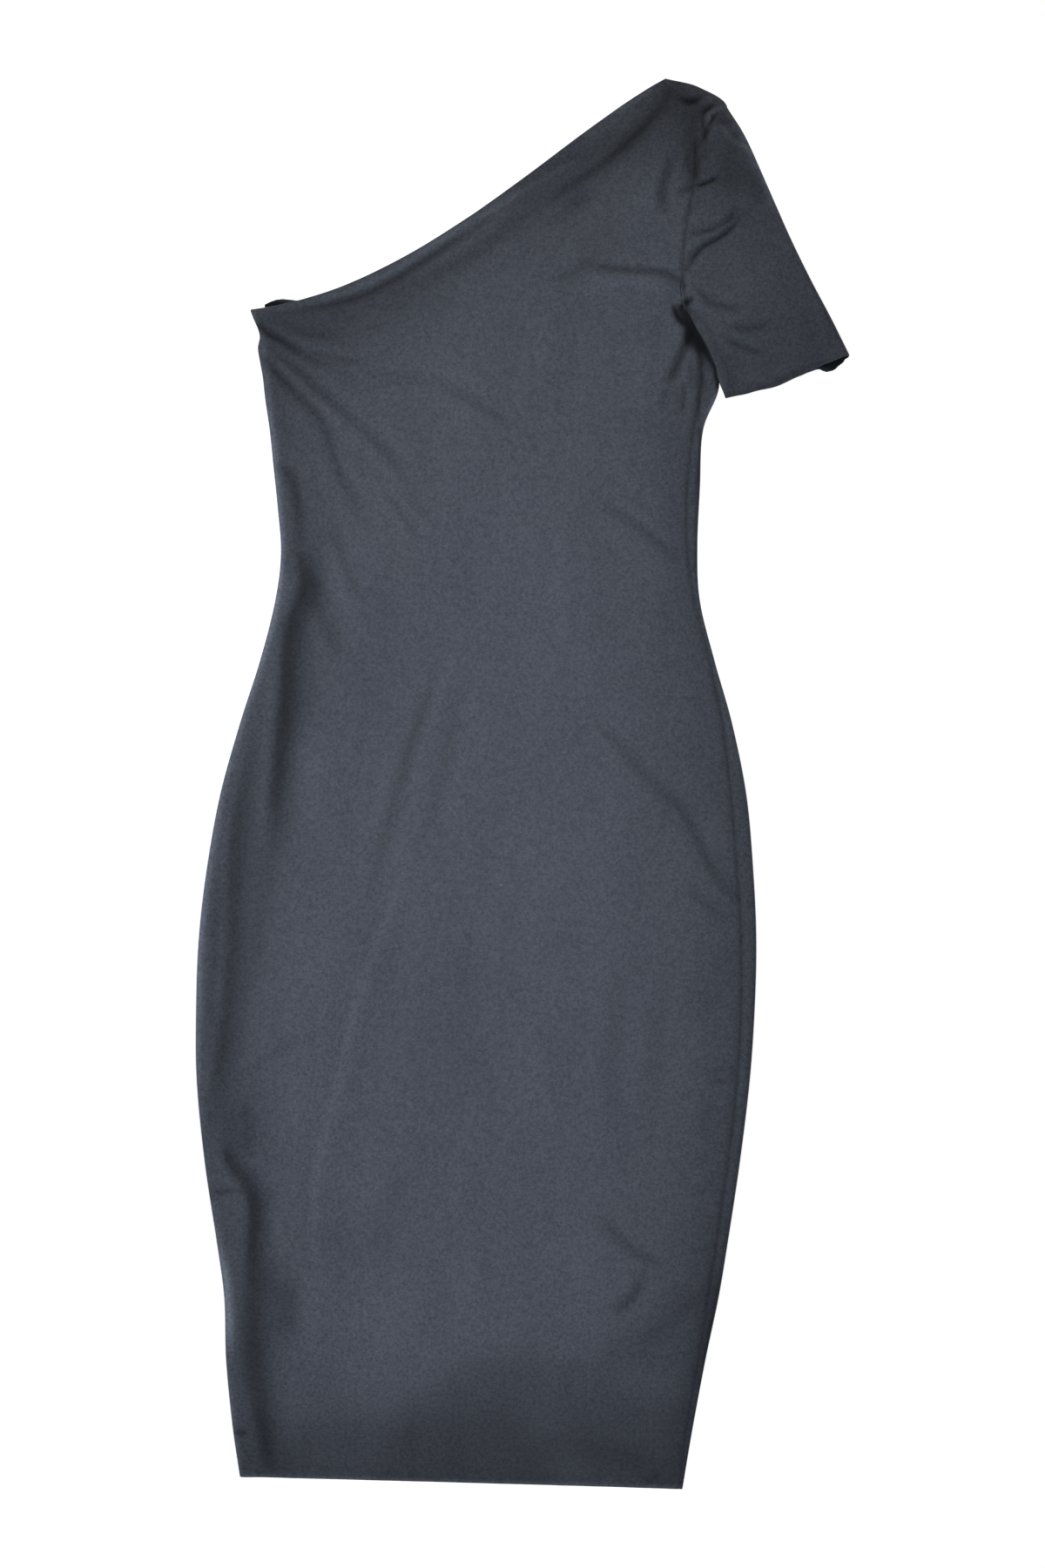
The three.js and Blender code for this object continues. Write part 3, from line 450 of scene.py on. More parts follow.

# %% [markdown]
# ## Painted light and shade of the cloth
# Shade is painted into the colour of the jersey in the folds, deeper than the mesh holds them, and a
# little painted highlight along each ridge. This painted shade follows the height of the folds. Broad
# patches of painted shade lie along the hem, down both sides, and over the shoulder and the sleeve, with
# a few lighter painted patches low on the front. A tone below 0 is a painted highlight: along the cut
# edges and the rims. The seams' grooves get thin lines of painted shade. Last come the hollows that no
# light reaches: inside the neck's corner, inside the cuff, and the pocket between the sleeve's lower edge
# and the body, with the small tucks at its head. The function below gives the result as a light factor,
# which is 1 on plain cloth and 0 in the dark.

# %% Painted shade and highlights of folds, patches, seams and hollows
FOLD_PAINTED_SHADE_PER_MM = 0.16  # painted shade for each mm of a fold's depth
RIDGE_PAINTED_HIGHLIGHT = -0.12  # the most painted highlight that a ridge gets
DEEPEST_PAINTED_SHADE = 0.86  # the darkest painted shade that a fold gets
EDGE_PAINTED_HIGHLIGHT = 0.5  # painted highlight that makes a cut edge lighter
TOP_STARTS = 0.8  # mm over the underside from which a point belongs to the top layer
# Broad patches, rims and lines of painted shade, and of painted highlight where the tone is below 0
PAINTED_SHADE_AND_HIGHLIGHT_PATCHES = table(["name", "tone", *STROKE], [
    ["hem, left", 0.22, 60, 0, 8, 1, 1, [[-240, -566], [-100, -566], [-30, -560]]],
    ["hem, left corner", 0.13, 18, 0, 2, 0.4, 0.4, [[-192, -538], [-165, -546]]],
    ["hem, right", 0.25, 115, 0, 14, 1, 1, [[-10, -572], [15, -574], [60, -598], [150, -606]]],
    ["hem, right, low", 0.24, 14, 0, 2, 0.5, 0.5, [[30, -528], [60, -534], [85, -541], [108, -552]]],
    ["over the hem, fold", 0.22, 8, 0, 2, 0.3, 0.6, [[85, -450], [110, -438], [130, -420], [150, -404]]],
    ["right of the hem drag", 0.14, 16, 0, 2, 0.3, 0.2, [[152, -335], [150, -372], [140, -408]]],
    ["low on the front, right", -0.12, 26, 0, 2.5, 0.3, 0.6, [[25, -350], [42, -400], [58, -478]]],
    ["low on the front, middle", -0.07, 34, 0, 2.5, 0.3, 0.3, [[-40, -360], [-35, -420], [-50, -460]]],
    ["hem rim, left", -0.3, 3.5, 0, 2, 0.3, 0.6, [[-232, -522], [-230, -535], [-227, -553]]],
    ["hem nick", 0.42, 2.8, 0, 2.4, 0.7, 0.7, [[-229, -520.5], [-223.5, -520]]],
    ["hem streak 1", 0.1, 3, 0, 2, 0.2, 0.4, [[-89, -504], [-90, -525], [-88, -548]]],
    ["hem streak 2", -0.1, 2, 0, 2, 0, 0, [[-103, -521], [-97, -513], [-90, -503]]],
    ["hem streak 3", 0.08, 4, 0, 2, 0, 0, [[-176, -504], [-174, -520], [-175, -535]]],
    ["hem streak 4", 0.08, 4, 0, 2, 0, 0, [[-131, -508], [-134, -525], [-131, -544]]],
    ["hem streak 5", 0.12, 4, 0, 2, 0, 0.5, [[-196, -530], [-190, -541], [-191, -550]]],
    ["left of the skirt, light", -0.06, 42, 0, 2.5, 0.2, 0.2, [[-150, -215], [-148, -290], [-136, -370]]],
    ["over the hem, middle", 0.13, 14, 0, 2.5, 0.2, 0.4, [[52, -457], [85, -459], [118, -452]]],
    ["over the hem, light", -0.08, 9, 0, 2.5, 0.3, 0.3, [[40, -481], [62, -486]]],
    ["right of the hem, spot", 0.1, 9, 0, 2.5, 0.3, 0.3, [[118, -400], [130, -416]]],
    ["low on the front", -0.15, 50, 0, 4, 0.4, 0.2, [[-160, -430], [-110, -445], [-60, -440]]],
    ["low on the front, left", -0.12, 14, 0, 2, 0.2, 0.4, [[-168, -385], [-165, -430], [-165, -480]]],
    ["left corner", 0.16, 42, 0, 2.5, 1, 1, [[-215, 352], [-160, 335]]],
    ["under the neck roll", 0.2, 14, 0, 2, 0.6, 0,
     [[-212, 374], [-180, 374], [-145, 380], [-110, 394], [-75, 414], [-40, 433]]],
    ["below the neck roll", 0.12, 20, 0, 2, 0.4, 0, [[-190, 368], [-130, 376], [-80, 390], [-40, 404]]],
    ["below the neck roll, right 1", 0.14, 7, 0, 2, 0, 0, [[-5, 458], [20, 471], [42, 484]]],
    ["below the neck roll, right 2", 0.12, 8, 0, 2, 0, 0, [[12, 443], [38, 461], [60, 482]]],
    ["under the neck roll, right", 0.12, 10, 0, 2, 0.2, 0.8,
     [[20, 452], [52, 478], [82, 503], [108, 530], [120, 552]]],
    ["under the neck roll, middle", 0.26, 7, 0, 2, 0, 0,
     [[-92, 396], [-62, 411], [-40, 424], [-20, 439], [0, 455], [22, 470]]],
    ["neck band", 0.28, 10, 0, 2, 0, 0.2,
     [[-30, 458], [0, 477], [30, 493], [56, 505], [84, 520], [98, 532]]],
    ["neck roll's line", 0.26, 2.8, 0, 2, 0, 0.3,
     [[58, 495], [69, 503], [79, 511], [90, 520], [101, 531], [110, 542]]],
    ["neck rim", -0.4, 3, 0, 2, 0.3, 1,
     [[-216, 379], [-180, 383], [-140, 395], [-100, 414], [-60, 440], [-20, 464], [40, 498]]],
    ["neck rim, right", -0.2, 5, 0, 2, 0, 0.4, [[40, 512], [62, 525], [85, 540], [104, 556]]],
    ["neck rim, right, edge", -0.6, 2, 0, 2, 0, 0.4, [[64, 532], [80, 542], [94, 550], [106, 559]]],
    ["below the neck", 0.1, 14, 0, 2, 0, 0, [[35, 415], [58, 430], [78, 446]]],
    ["left hem hollow", 0.3, 8, 0, 2, 0.3, 0.3, [[-223, -250], [-221, -275], [-219, -308]]],
    ["left hem lobe", 0.26, 12, 0, 3, 0.4, 0.4, [[-195, -392], [-190, -420], [-191, -448]]],
    ["left hem hollow, broad", 0.24, 14, 0, 3, 0.6, 0.2,
     [[-214, -335], [-214, -360], [-213, -390], [-212, -420], [-214, -455], [-215, -480], [-211, -505]]],
    ["left hem hollow, upper", 0.14, 7, 0, 2, 0.3, 0.3, [[-234, -258], [-234, -290]]],
    ["left of the hip", 0.2, 6.5, 0, 2, 0, 0,
     [[-210, -5], [-210, -45], [-209, -80], [-211, -110], [-214, -150], [-226, -190]]],
    ["foot of the waist valley", 0.13, 4.5, 0, 2, 0, 0, [[-200, -62], [-200, -95], [-202, -130]]],
    ["left edge", 0.14, 26, 0, 2.5, 0.2, 0.4,
     [[-205, 110], [-215, 50], [-235, -20], [-250, -120], [-254, -200], [-250, -290], [-240, -360]]],
    ["left of the waist", 0.12, 22, 0, 2.5, 0.6, 0.2,
     [[-190, 345], [-183, 290], [-180, 230], [-178, 170]]],
    ["waist wedge", 0.24, 8, 0, 2.5, 0.3, 0.4, [[-170, 166], [-165, 159], [-158, 147]]],
    ["waist wedge, left", 0.24, 4, 0, 2, 0.4, 0.4, [[-192, 186], [-190, 176], [-188, 168]]],
    ["right of the waist", 0.12, 8, 0, 2, 0, 0, [[-163, 210], [-160, 190], [-163, 165]]],
    ["waist valley, left side", 0.2, 5.5, 0, 2, 0, 0,
     [[-194, 148], [-191, 118], [-190, 90], [-192, 55], [-196, 15]]],
    ["right of the waist valley", 0.2, 18, 0, 2.5, 0.5, 0,
     [[-170, 150], [-168, 110], [-170, 66], [-176, 22]]],
    ["top of the waist valley", 0.12, 4, 0, 2, 0.3, 0,
     [[-197, 253], [-188, 250], [-181, 242], [-180, 228]]],
    ["fan 1, shade", 0.22, 3.2, 0, 2, 0.5, 0, [[-208, 341], [-198, 330], [-189, 320], [-179, 309]]],
    ["fan 2, shade", 0.18, 3, 0, 2, 0.4, 0, [[-204, 350], [-191, 339], [-180, 330], [-170, 320]]],
    ["fan 2, tail", 0.08, 6, 0, 2, 0, 0, [[-132, 286], [-118, 273], [-106, 261], [-97, 247], [-90, 236]]],
    ["left rim, corner", -0.8, 3, 0, 2, 0.5, 0.5,
     [[-218.5, 380], [-216, 373.5], [-213.5, 367], [-212, 360]]],
    ["left rim", -1.5, 3.6, 0, 2, 0.4, 0.3,
     [[-211, 362], [-208, 338], [-205, 310], [-201, 270], [-197, 225], [-194, 184], [-198, 147],
      [-210, 100], [-227, 48], [-243, -10], [-254, -72], [-260, -126], [-262, -180], [-261.5, -238],
      [-256, -300], [-252, -325]]],
    ["left rim, inner", -0.4, 9, 0, 2, 0.2, 0,
     [[-227, 48], [-243, -10], [-254, -72], [-260, -126], [-262, -180], [-261.5, -238], [-256, -300]]],
    ["inside the left rim", 0.14, 5, 0, 2, 0, 0, [[-238, -50], [-246, -110], [-249, -180], [-246, -245]]],
    ["left rim, low", -1.6, 4, 0, 2, 0.5, 0.2,
     [[-250, -338], [-245.5, -367], [-239.5, -392], [-237, -415], [-235.5, -440], [-237, -462]]],
    ["left rim, foot", -0.8, 3, 0, 2, 0.4, 0.6, [[-238, -468], [-235, -495], [-231, -530], [-228, -553]]],
    ["right edge", 0.17, 34, 0, 2.5, 1, 1,
     [[140, -540], [165, -400], [180, -250], [187, -126], [178, 0], [150, 110], [142, 200], [150, 330]]],
    ["right rim", 0.38, 3.6, 0, 2, 0.6, 0.3,
     [[129, -562], [147, -462], [157.5, -412], [165, -367], [174.5, -304], [182.5, -238], [186.5, -180],
      [187.8, -126], [185.5, -72], [180, -10]]],
    ["right rim, high", 0.55, 3.4, 0, 2, 0.3, 0.2,
     [[140.5, 148], [140.5, 190], [142.5, 238], [144.5, 278]]],
    ["below the underarm, rim", -0.9, 2.6, 0, 2, 0.3, 0.5,
     [[146, 288], [150, 299], [154, 308], [157, 314]]],
    ["right side, low", 0.22, 15, 0, 2.5, 0.4, 0.3, [[154, -392], [147, -430], [141, -470], [135, -502]]],
    ["right side, spot 1", 0.14, 5, 0, 2, 0, 0, [[152, -248], [147, -265], [143, -288]]],
    ["right side, spot 2", 0.12, 5, 0, 2, 0, 0, [[157, -166], [144, -178], [138, -194]]],
    ["above the hip drag", 0.06, 22, 0, 2.5, 0, 0, [[98, 36], [128, 10], [156, -40]]],
    ["below the hip drag", 0.13, 8, 0, 2, 0, 0.3, [[116, 2], [130, -28], [145, -58], [160, -86]]],
    ["shoulder", 0.24, 60, 0, 3, 1, 1, [[100, 575], [150, 540]]],
    ["shoulder point", 0.22, 10, 0, 2, 0.6, 0.3, [[121, 556], [126, 544], [122, 526]]],
    ["neck edge", 0.16, 55, 0, 2.5, 1, 1, [[-212, 375], [-100, 430], [20, 500], [90, 560]]],
    ["sleeve head ridge 1", -0.5, 1.9, 0, 2, 0.4, 0,
     [[164, 542.5], [155, 539.8], [150.3, 536.3], [148.8, 527]]],
    ["sleeve head ridge 2", -0.45, 1.9, 0, 2, 0, 0.8,
     [[155, 528], [162, 523], [168.5, 516.5], [176, 511.5], [181, 508]]],
    ["sleeve head spot", 0.2, 3.5, 0, 2, 0.5, 0.5, [[168, 520], [172, 516]]],
    ["sleeve head, by the tuck", 0.15, 6, 0, 2, 0.4, 0.2, [[146, 542], [155, 534], [162, 527]]],
    ["seam's head", 0.4, 2, 0, 2, 0.6, 0, [[141, 341], [141, 328], [141, 314], [141, 300], [140.5, 286]]],
    ["beside the seam's head", 0.4, 2.6, 0, 2, 0.3, 0.2, [[143.5, 332], [144.5, 323], [144.5, 314]]],
    ["seam by the edge", 0.4, 2.2, 0, 2, 0, 0,
     [[142.5, 300], [142.5, 280], [142.5, 262], [141, 245], [137, 228]]],
    ["right rim, low", 0.45, 3.6, 0, 2, 0.2, 0.2,
     [[159, -388], [153.5, -420], [147.5, -455], [141, -490]]],
    ["hem rim", -0.9, 2, 0, 2, 0.8, 0.8, [[-227, -556], [-110, -559], [10, -562.5], [128, -566]]],
    ["sleeve head", 0.13, 20, 0, 2.5, 0, 0, [[160, 530], [168, 500], [170, 478]]],
    ["sleeve head, core", 0.24, 9, 0, 2, 0.3, 0, [[163, 508], [163, 492], [168, 478], [180, 474]]],
    ["sleeve head, low", 0.14, 6, 0, 2, 0.3, 0, [[148, 477], [156, 479], [162, 484]]],
    ["sleeve drag, shade", 0.15, 4, 0, 2, 0, 0, [[166, 445], [177, 455], [184, 468]]],
    ["sleeve, outer", 0.22, 9, 0, 2, 0, 0, [[178, 494], [187, 476], [192, 464]]],
    ["sleeve rim", -0.9, 3.6, 0, 2, 0.3, 0, [[170, 532], [179, 516], [189, 495], [199, 473], [209, 450]]],
    ["sleeve rim, low", 0.2, 3.5, 0, 2, 0, 0, [[218, 432], [231, 404], [247, 374], [258, 352]]],
    ["sleeve", 0.13, 75, 0, 4, 1, 1, [[200, 510], [265, 360]]],
    ["sleeve, middle", -0.1, 24, 0, 2, 0, 0, [[158, 414], [182, 408], [205, 398]]],
    ["sleeve, low", 0.15, 30, 0, 2.5, 0.6, 0.6, [[178, 338], [215, 350], [250, 362]]],
    ["cuff edge", 0.34, 3.5, 0, 2, 0.8, 0.5,
     [[163, 310], [180, 314], [200, 320], [222, 330], [242, 338]]],
    ["beside the armhole", -0.13, 20, 0, 2, 0, 0,
     [[101, 510], [100, 470], [108, 430], [98, 390], [98, 350]]],
    ["under the bust", -0.09, 26, 0, 2, 0, 0, [[95, 360], [100, 330], [108, 290]]],
    ["beside the skirt ridge", -0.10, 30, 0, 2.5, 0, 0,
     [[-150, -60], [-170, -130], [-178, -200], [-175, -270]]],
    ["skirt ridge", -0.12, 3, 0, 2, 0, 0,
     [[-104, -92], [-124, -145], [-139, -200], [-151, -248], [-162, -292], [-167, -335], [-168, -375],
      [-160, -412]]],
    ["left of the ridge, low", -0.11, 13, 0, 2.5, 0.2, 0.2, [[-190, -228], [-186, -260], [-184, -295]]],
    ["skirt, middle", 0.06, 34, 0, 2.5, 0, 0, [[-50, -110], [-58, -200], [-60, -290]]],
    ["skirt, top left", 0.05, 70, 0, 4, 0.4, 0, [[-95, 235], [-85, 100], [-75, -10]]],
])
# Thin lines of painted shade in the seams' grooves
SEAM_GROOVE_PAINTED_SHADE = table(["name", "tone", *STROKE], [
    ["side seam", 0.26, 1.8, 0, 2, 1, 1,
     [[row["rightX"] - row["rightFold"] - REST - row["strip"], row["rightY"]]
      for row in BODY[SEAM_STATIONS]]],
    ["armhole seam", 0.42, 1.5, 0, 2, 1, 0,
     [[row["rightX"], row["rightY"]] for row in BODY[ARMHOLE_STATIONS]]],
])
HOLLOWS = table(["name", "on", "highest", "tone", *STROKE], [
    ["neck corner", ["back_cloth"], 2.5, 0.92, 7, 0, 4, 1, 1, [[-207, 383], [-198, 384], [-188, 380]]],
    ["cuff", ["sleeve_cloth"], 2.5, 0.90, 8, 0, 4, 1, 1, [[238, 342], [250, 337], [262, 338]]],
    ["underarm", ["front_cloth", "back_cloth"], 20, 0.94, 6.3, 0, 4, 0.9, 0.3,
     [[130, 376], [134, 368.5], [138, 360.5], [141.5, 353.5], [144.5, 346.5], [145, 340]]],
    ["underarm, side", ["front_cloth", "back_cloth"], 20, 0.92, 3.8, 0, 4, 0.8, 0.6,
     [[132.5, 361], [133, 355], [134.5, 351]]],
    ["underarm, foot", ["front_cloth", "back_cloth"], 20, 0.92, 2, 0, 3, 0.8, 0.8,
     [[146.5, 349], [150, 341], [153.5, 335], [154.5, 330], [156.5, 320], [158, 313]]],
    ["underarm tuck", ["front_cloth", "sleeve_cloth"], 20, 0.93, 2.5, 0, 3, 0.9, 0.7,
     [[126.5, 382], [129, 384.5], [132, 387], [135, 388.5]]],
    ["underarm finger", ["front_cloth"], 20, 0.9, 2.4, 0, 3, 0.6, 0.9,
     [[121.5, 383], [122.5, 378], [125, 372.5], [129, 369]]],
    ["sleeve's lower edge", ["sleeve_cloth"], 5.8, 0.8, 3, 0, 3, 0.5, 0.5,
     [[133, 379], [138, 368], [145, 355], [150, 344], [154, 334], [157, 322], [161, 312]]],
])


def painted_light_factor(name, grid):
    """The painted light and shade factor of each point of a piece's grid, 1 on plain cloth."""
    x, y, z = grid[..., 0], grid[..., 1], grid[..., 2]
    dents = dent_height(x, y)
    # painted shade in the folds and a painted highlight on the ridges
    light = 1 - np.clip(-FOLD_PAINTED_SHADE_PER_MM * fold_height(x, y), RIDGE_PAINTED_HIGHLIGHT, DEEPEST_PAINTED_SHADE)
    # painted shade and highlights of the patches, and painted shade in the seams' grooves
    for row in PAINTED_SHADE_AND_HIGHLIGHT_PATCHES + SEAM_GROOVE_PAINTED_SHADE:
        light *= 1 - row["tone"] * line_share(row, x, y)
    on_top = ease(z - REST - TOP_STARTS - dents)
    # the underside gets only the painted shade of its dents
    light = mix(1 - FOLD_PAINTED_SHADE_PER_MM * dents, light, on_top)
    for row in HOLLOWS:
        if name in row["on"]:
            light *= 1 - row["tone"] * line_share(row, x, y) * (1 - ease(z - row["highest"]))
    return light


# the patches and rims are painted shade and painted highlights
print(len(PAINTED_SHADE_AND_HIGHLIGHT_PATCHES), "patches and rims of the nap,", len(HOLLOWS), "hollows")


# %% [markdown]
# ## Sections of the body
# Each section leaves the left outline and arrives at the right one along its station's slopes, and is
# walked by its length `d` from the left. The front panel starts at the left seam, which has rolled
# under, comes round the left edge and crosses to the right seam. The back panel starts at the same
# seam, lies on the table, turns round the right edge and comes back on top to meet the front.

# %% Section curves
PLAN_POINTS = 97
SEAM_DIP = 1.0  # depth of the groove at a side seam, and half its width
SEAM_DIP_REACH = 2.6
ARMHOLE_DIP = 1.1
SEAM_FADE = 2.0  # width of strip below which the groove fades
NO_SEAM = 1e6


def towards_neck(t, stations):
    """1 at the neck, fading over the given number of stations below it."""
    return ease((t - 1) * LAST_STATION / stations + 1)


def section_plans(t):
    """Plan curves of all sections at once: points along each, and the length up to each point."""
    u = np.linspace(0.0, 1.0, PLAN_POINTS)[None, :, None]
    left = np.stack([column(BODY, "leftX", t), column(BODY, "leftY", t)], axis=1)
    right = np.stack([column(BODY, "rightX", t), column(BODY, "rightY", t)], axis=1)
    leave, arrive = (np.radians(column(BODY, name, t)) for name in ("leftSlope", "rightSlope"))
    leave = np.stack([np.cos(leave), np.sin(leave)], axis=1)
    arrive = np.stack([np.cos(arrive), np.sin(arrive)], axis=1)
    chord = np.linalg.norm(right - left, axis=1)[:, None, None]
    points = (left[:, None] * (2 * u**3 - 3 * u**2 + 1) + right[:, None] * (3 * u**2 - 2 * u**3)
              + leave[:, None] * LEFT_PULL * chord * (u**3 - 2 * u**2 + u)
              + arrive[:, None] * RIGHT_PULL * chord * (u**3 - u**2))
    sway = NECK_SWAY["height"] * towards_neck(t, NECK_SWAY["stations"])
    points[:, :, 1] -= sway[:, None] * np.sin(2 * math.pi * u[:, :, 0])
    steps = np.linalg.norm(np.diff(points, axis=1), axis=2)
    lengths = np.concatenate([np.zeros((len(t), 1)), np.cumsum(steps, axis=1)], axis=1)
    return {"points": points, "lengths": lengths, "total": lengths[:, -1], "leave": leave,
            "arrive": arrive}


def walk(plan, d):
    """Plan points at the lengths d, one row of d for each section."""
    out = np.empty(d.shape + (2,))
    for i in range(len(d)):
        for axis in range(2):
            out[i, :, axis] = np.interp(d[i], plan["lengths"][i], plan["points"][i, :, axis])
    return out


def body_sections(t):
    """Everything that the two panels need of the sections at t."""
    plan = section_plans(t)
    s = {"t": t, "plan": plan}
    s["left_fold"] = column(BODY, "leftFold", t)
    s["right_fold"] = column(BODY, "rightFold", t)
    s["turn"] = np.radians(np.clip(column(BODY, "turn", t), 0, 180))
    s["front_turn"] = np.radians(np.clip(column(BODY, "frontTurn", t), 0, 90))
    s["strip"] = np.maximum(0.0, column(BODY, "strip", t))
    s["rounded"] = np.sin(np.minimum(s["turn"], math.pi / 2))
    s["left_inset"] = s["left_fold"] + CLOTH / 2
    s["run_end"] = plan["total"] - (s["right_fold"] + CLOTH / 2) * s["rounded"]
    s["left_centre"] = walk(plan, s["left_inset"][:, None])[:, 0]
    s["right_centre"] = walk(plan, s["run_end"][:, None])[:, 0]
    return s


def top_points(s, d):
    """Middle of the top wall at the lengths d."""
    p = walk(s["plan"], d)
    z = relief(p[..., 0], p[..., 1])
    from_left = 1 - ease((d - s["left_inset"][:, None]) / EDGE_REACH)
    from_right = s["rounded"][:, None] * (1 - ease((s["run_end"][:, None] - d) / EDGE_REACH))
    z = mix(z, REST + 2 * s["left_fold"][:, None], from_left)
    z = mix(z, REST + 2 * s["right_fold"][:, None], from_right)
    seam_at = np.where(s["strip"] > 0, s["run_end"] - s["strip"], NO_SEAM)[:, None]
    z -= (SEAM_DIP * np.exp(-((d - seam_at) / SEAM_DIP_REACH) ** 2)
          * ease(s["strip"][:, None] / SEAM_FADE))
    z -= (ARMHOLE_DIP * (1 - s["rounded"][:, None])
          * np.exp(-((s["run_end"][:, None] - d) / SEAM_DIP_REACH) ** 2))
    return np.dstack([p, np.maximum(z, LOWEST - LANDING_PLAY)])


def arc_points(s, side, angle):
    """Points on a rounded edge, the angle running from the underside up to the top."""
    left = side == "left"
    centre = s["left_centre"] if left else s["right_centre"]
    heading = -s["plan"]["leave"] if left else s["plan"]["arrive"]
    radius = s["left_fold"] if left else s["right_fold"]
    out = centre[:, None] + heading[:, None] * (radius[:, None] * np.sin(angle))[..., None]
    return np.dstack([out, REST + radius[:, None] * (1 - np.cos(angle))])


def spread(start, end, share):
    """Lengths from start to end of every section, at the given shares."""
    return start[:, None] + (end - start)[:, None] * np.asarray(share)[None, :]


def crowded(steps, crowd=0.5):
    """Shares from 0 to 1 that crowd towards both ends."""
    even = np.linspace(0.0, 1.0, steps + 1)
    return mix(even, (1 - np.cos(math.pi * even)) / 2, crowd)


# %% [markdown]
# ## Panel grids
# A panel is a grid of points on the middle of its cloth. The front's grid is about 3 mm, close enough
# for the narrowest crease. The right end gets extra points, so that its edge rolls into the seam.

# %% Front and back grids
ROWS = 330
FRONT_COLUMNS = 100
FRONT_END_COLUMNS = 8
FRONT_END = 5.0  # mm before the seam that get the closer columns
BACK_COLUMNS = 44
BACK_STRIP_COLUMNS = 6
BACK_STRIP = 0.8  # the least strip that is left past the right edge, and the least arc there
BACK_ARC = 3.5
BACK_BUTT = 1.5  # mm of the back's end where it doesn't turn round the edge
UNDER_STEPS = [0.0, 0.1, 0.4, 0.75]  # from the left seam to the edge, as shares
ARC_COLUMNS = 10


def front_grid(s):
    seam = s["left_inset"] + UNDER_STRIP - SEAM_GAP / 2
    under = spread(seam, s["left_inset"], UNDER_STEPS)
    under_points = np.dstack([walk(s["plan"], under), np.full(under.shape, REST)])
    angles = np.tile(np.linspace(0, math.pi, ARC_COLUMNS + 1)[:-1], (len(s["t"]), 1))
    end = s["run_end"] + s["right_fold"] * s["front_turn"] - s["strip"] - SEAM_GAP / 2
    last = end - np.maximum(FRONT_END, s["right_fold"] * s["front_turn"])
    d = np.concatenate([spread(s["left_inset"], last, crowded(FRONT_COLUMNS)[:-1]),
                        spread(last, end, np.linspace(0, 1, FRONT_END_COLUMNS))], axis=1)
    on_top = top_points(s, np.minimum(d, s["run_end"][:, None]))
    past = np.maximum(0.0, d - s["run_end"][:, None]) / s["right_fold"][:, None]
    down = arc_points(s, "right", math.pi - past)
    # the shoulder's rounded edge takes the height that the top has where it starts
    down[..., 2] = mix(REST, on_top[..., 2], (down[..., 2] - REST) / (2 * s["right_fold"][:, None]))
    run = np.where((past > 0)[..., None], down, on_top)
    return np.concatenate([under_points, arc_points(s, "left", angles), run], axis=1)


def back_grid(s):
    settled = towards_neck(s["t"], NECK_GAPE["stations"])[:, None]
    round_length = s["right_fold"] * s["turn"]
    end = s["run_end"] + round_length + s["strip"] - SEAM_GAP / 2
    strip_start = end - np.maximum(BACK_STRIP, s["strip"]) - BACK_BUTT * (1 - s["rounded"])
    arc_start = strip_start - np.maximum(round_length, BACK_ARC)
    seam = s["left_inset"] + UNDER_STRIP + SEAM_GAP / 2
    d = np.concatenate([spread(seam, arc_start, crowded(BACK_COLUMNS)[:-1]),
                        spread(arc_start, strip_start, np.linspace(0, 1, ARC_COLUMNS + 1)[:-1]),
                        spread(strip_start, end, np.linspace(0, 1, BACK_STRIP_COLUMNS))], axis=1)
    run_end, turned = s["run_end"][:, None], (s["run_end"] + round_length)[:, None]
    p = walk(s["plan"], np.minimum(d, run_end))
    gape = mix(NECK_GAPE["behind"], NECK_GAPE["beyond"],
               np.exp(-((d - NECK_GAPE["at"]) / NECK_GAPE["reach"]) ** 2))
    p[..., 1] += settled * gape
    off_edges = ease((d - seam[:, None]) / EDGE_REACH) * ease((run_end - d) / EDGE_REACH)
    under = np.dstack([p, REST + off_edges * dent_height(p[..., 0], p[..., 1])])
    angle = np.clip((d - run_end) / s["right_fold"][:, None], 0, math.pi)
    on_arc = arc_points(s, "right", angle)
    on_top = top_points(s, np.clip(2 * run_end + round_length[:, None] - d, 0, run_end))
    grid = np.where((d > run_end)[..., None], on_arc, under)
    return np.where((d > turned)[..., None], on_top, grid)


# %% [markdown]
# ## Sleeve
# The sleeve is a flattened tube, sewn round the armhole. Its first ring is the armhole's own curve and
# its last is the cuff. The cuff's back half reaches further than its front half near the outer corner,
# and shows there as a dark sliver. Near the underarm the sleeve lies over the body, so it is lifted.

# %% Sleeve grid
ARMHOLE_GAP = -0.4  # the sleeve's first ring lies this far inside the body's edge
SLEEVE_HEAD = {"outerFold": 2.3, "lowerFold": 1.3}
SLEEVE = table(["outerX", "outerY", "lowerX", "lowerY", "outerFold", "lowerFold"], [
    [178.5, 518.5, 139.0, 367.5, 2.6, 1.6],
    [196.0, 480.0, 146.3, 354.5, 2.6, 1.6],
    [214.5, 438.5, 151.6, 343.5, 2.6, 1.6],
    [231.0, 405.0, 155.6, 333.0, 2.7, 1.7],
    [247.5, 374.0, 157.8, 321.5, 2.9, 1.8],
    [262.0, 345.0, 162.5, 309.5, 3.2, 1.9],
])
CUFF = table(["at", "front", "back"], [
    [0, 0, 0], [0.08, 0.5, 4.8], [0.15, 0.9, 7.4], [0.2, 0.9, 6.9], [0.26, 1.5, 2.2],
    [0.41, 3.2, 2.2], [0.6, 4.7, 3.4], [0.8, 2.5, 1.4], [1, 0, 0],
])
SLEEVE_LIFT = {"height": 4.6, "full": 5, "reach": 15, "from": (139, 366), "to": (157.5, 320)}
ARMHOLE_FADE = 1.6  # how soon along the sleeve the armhole's curve straightens out
SLEEVE_RINGS = 96
RING_CROWD = 0.9  # below 1, the rings are closer at the cuff
SLEEVE_TOP = 84
SLEEVE_UNDER = 40
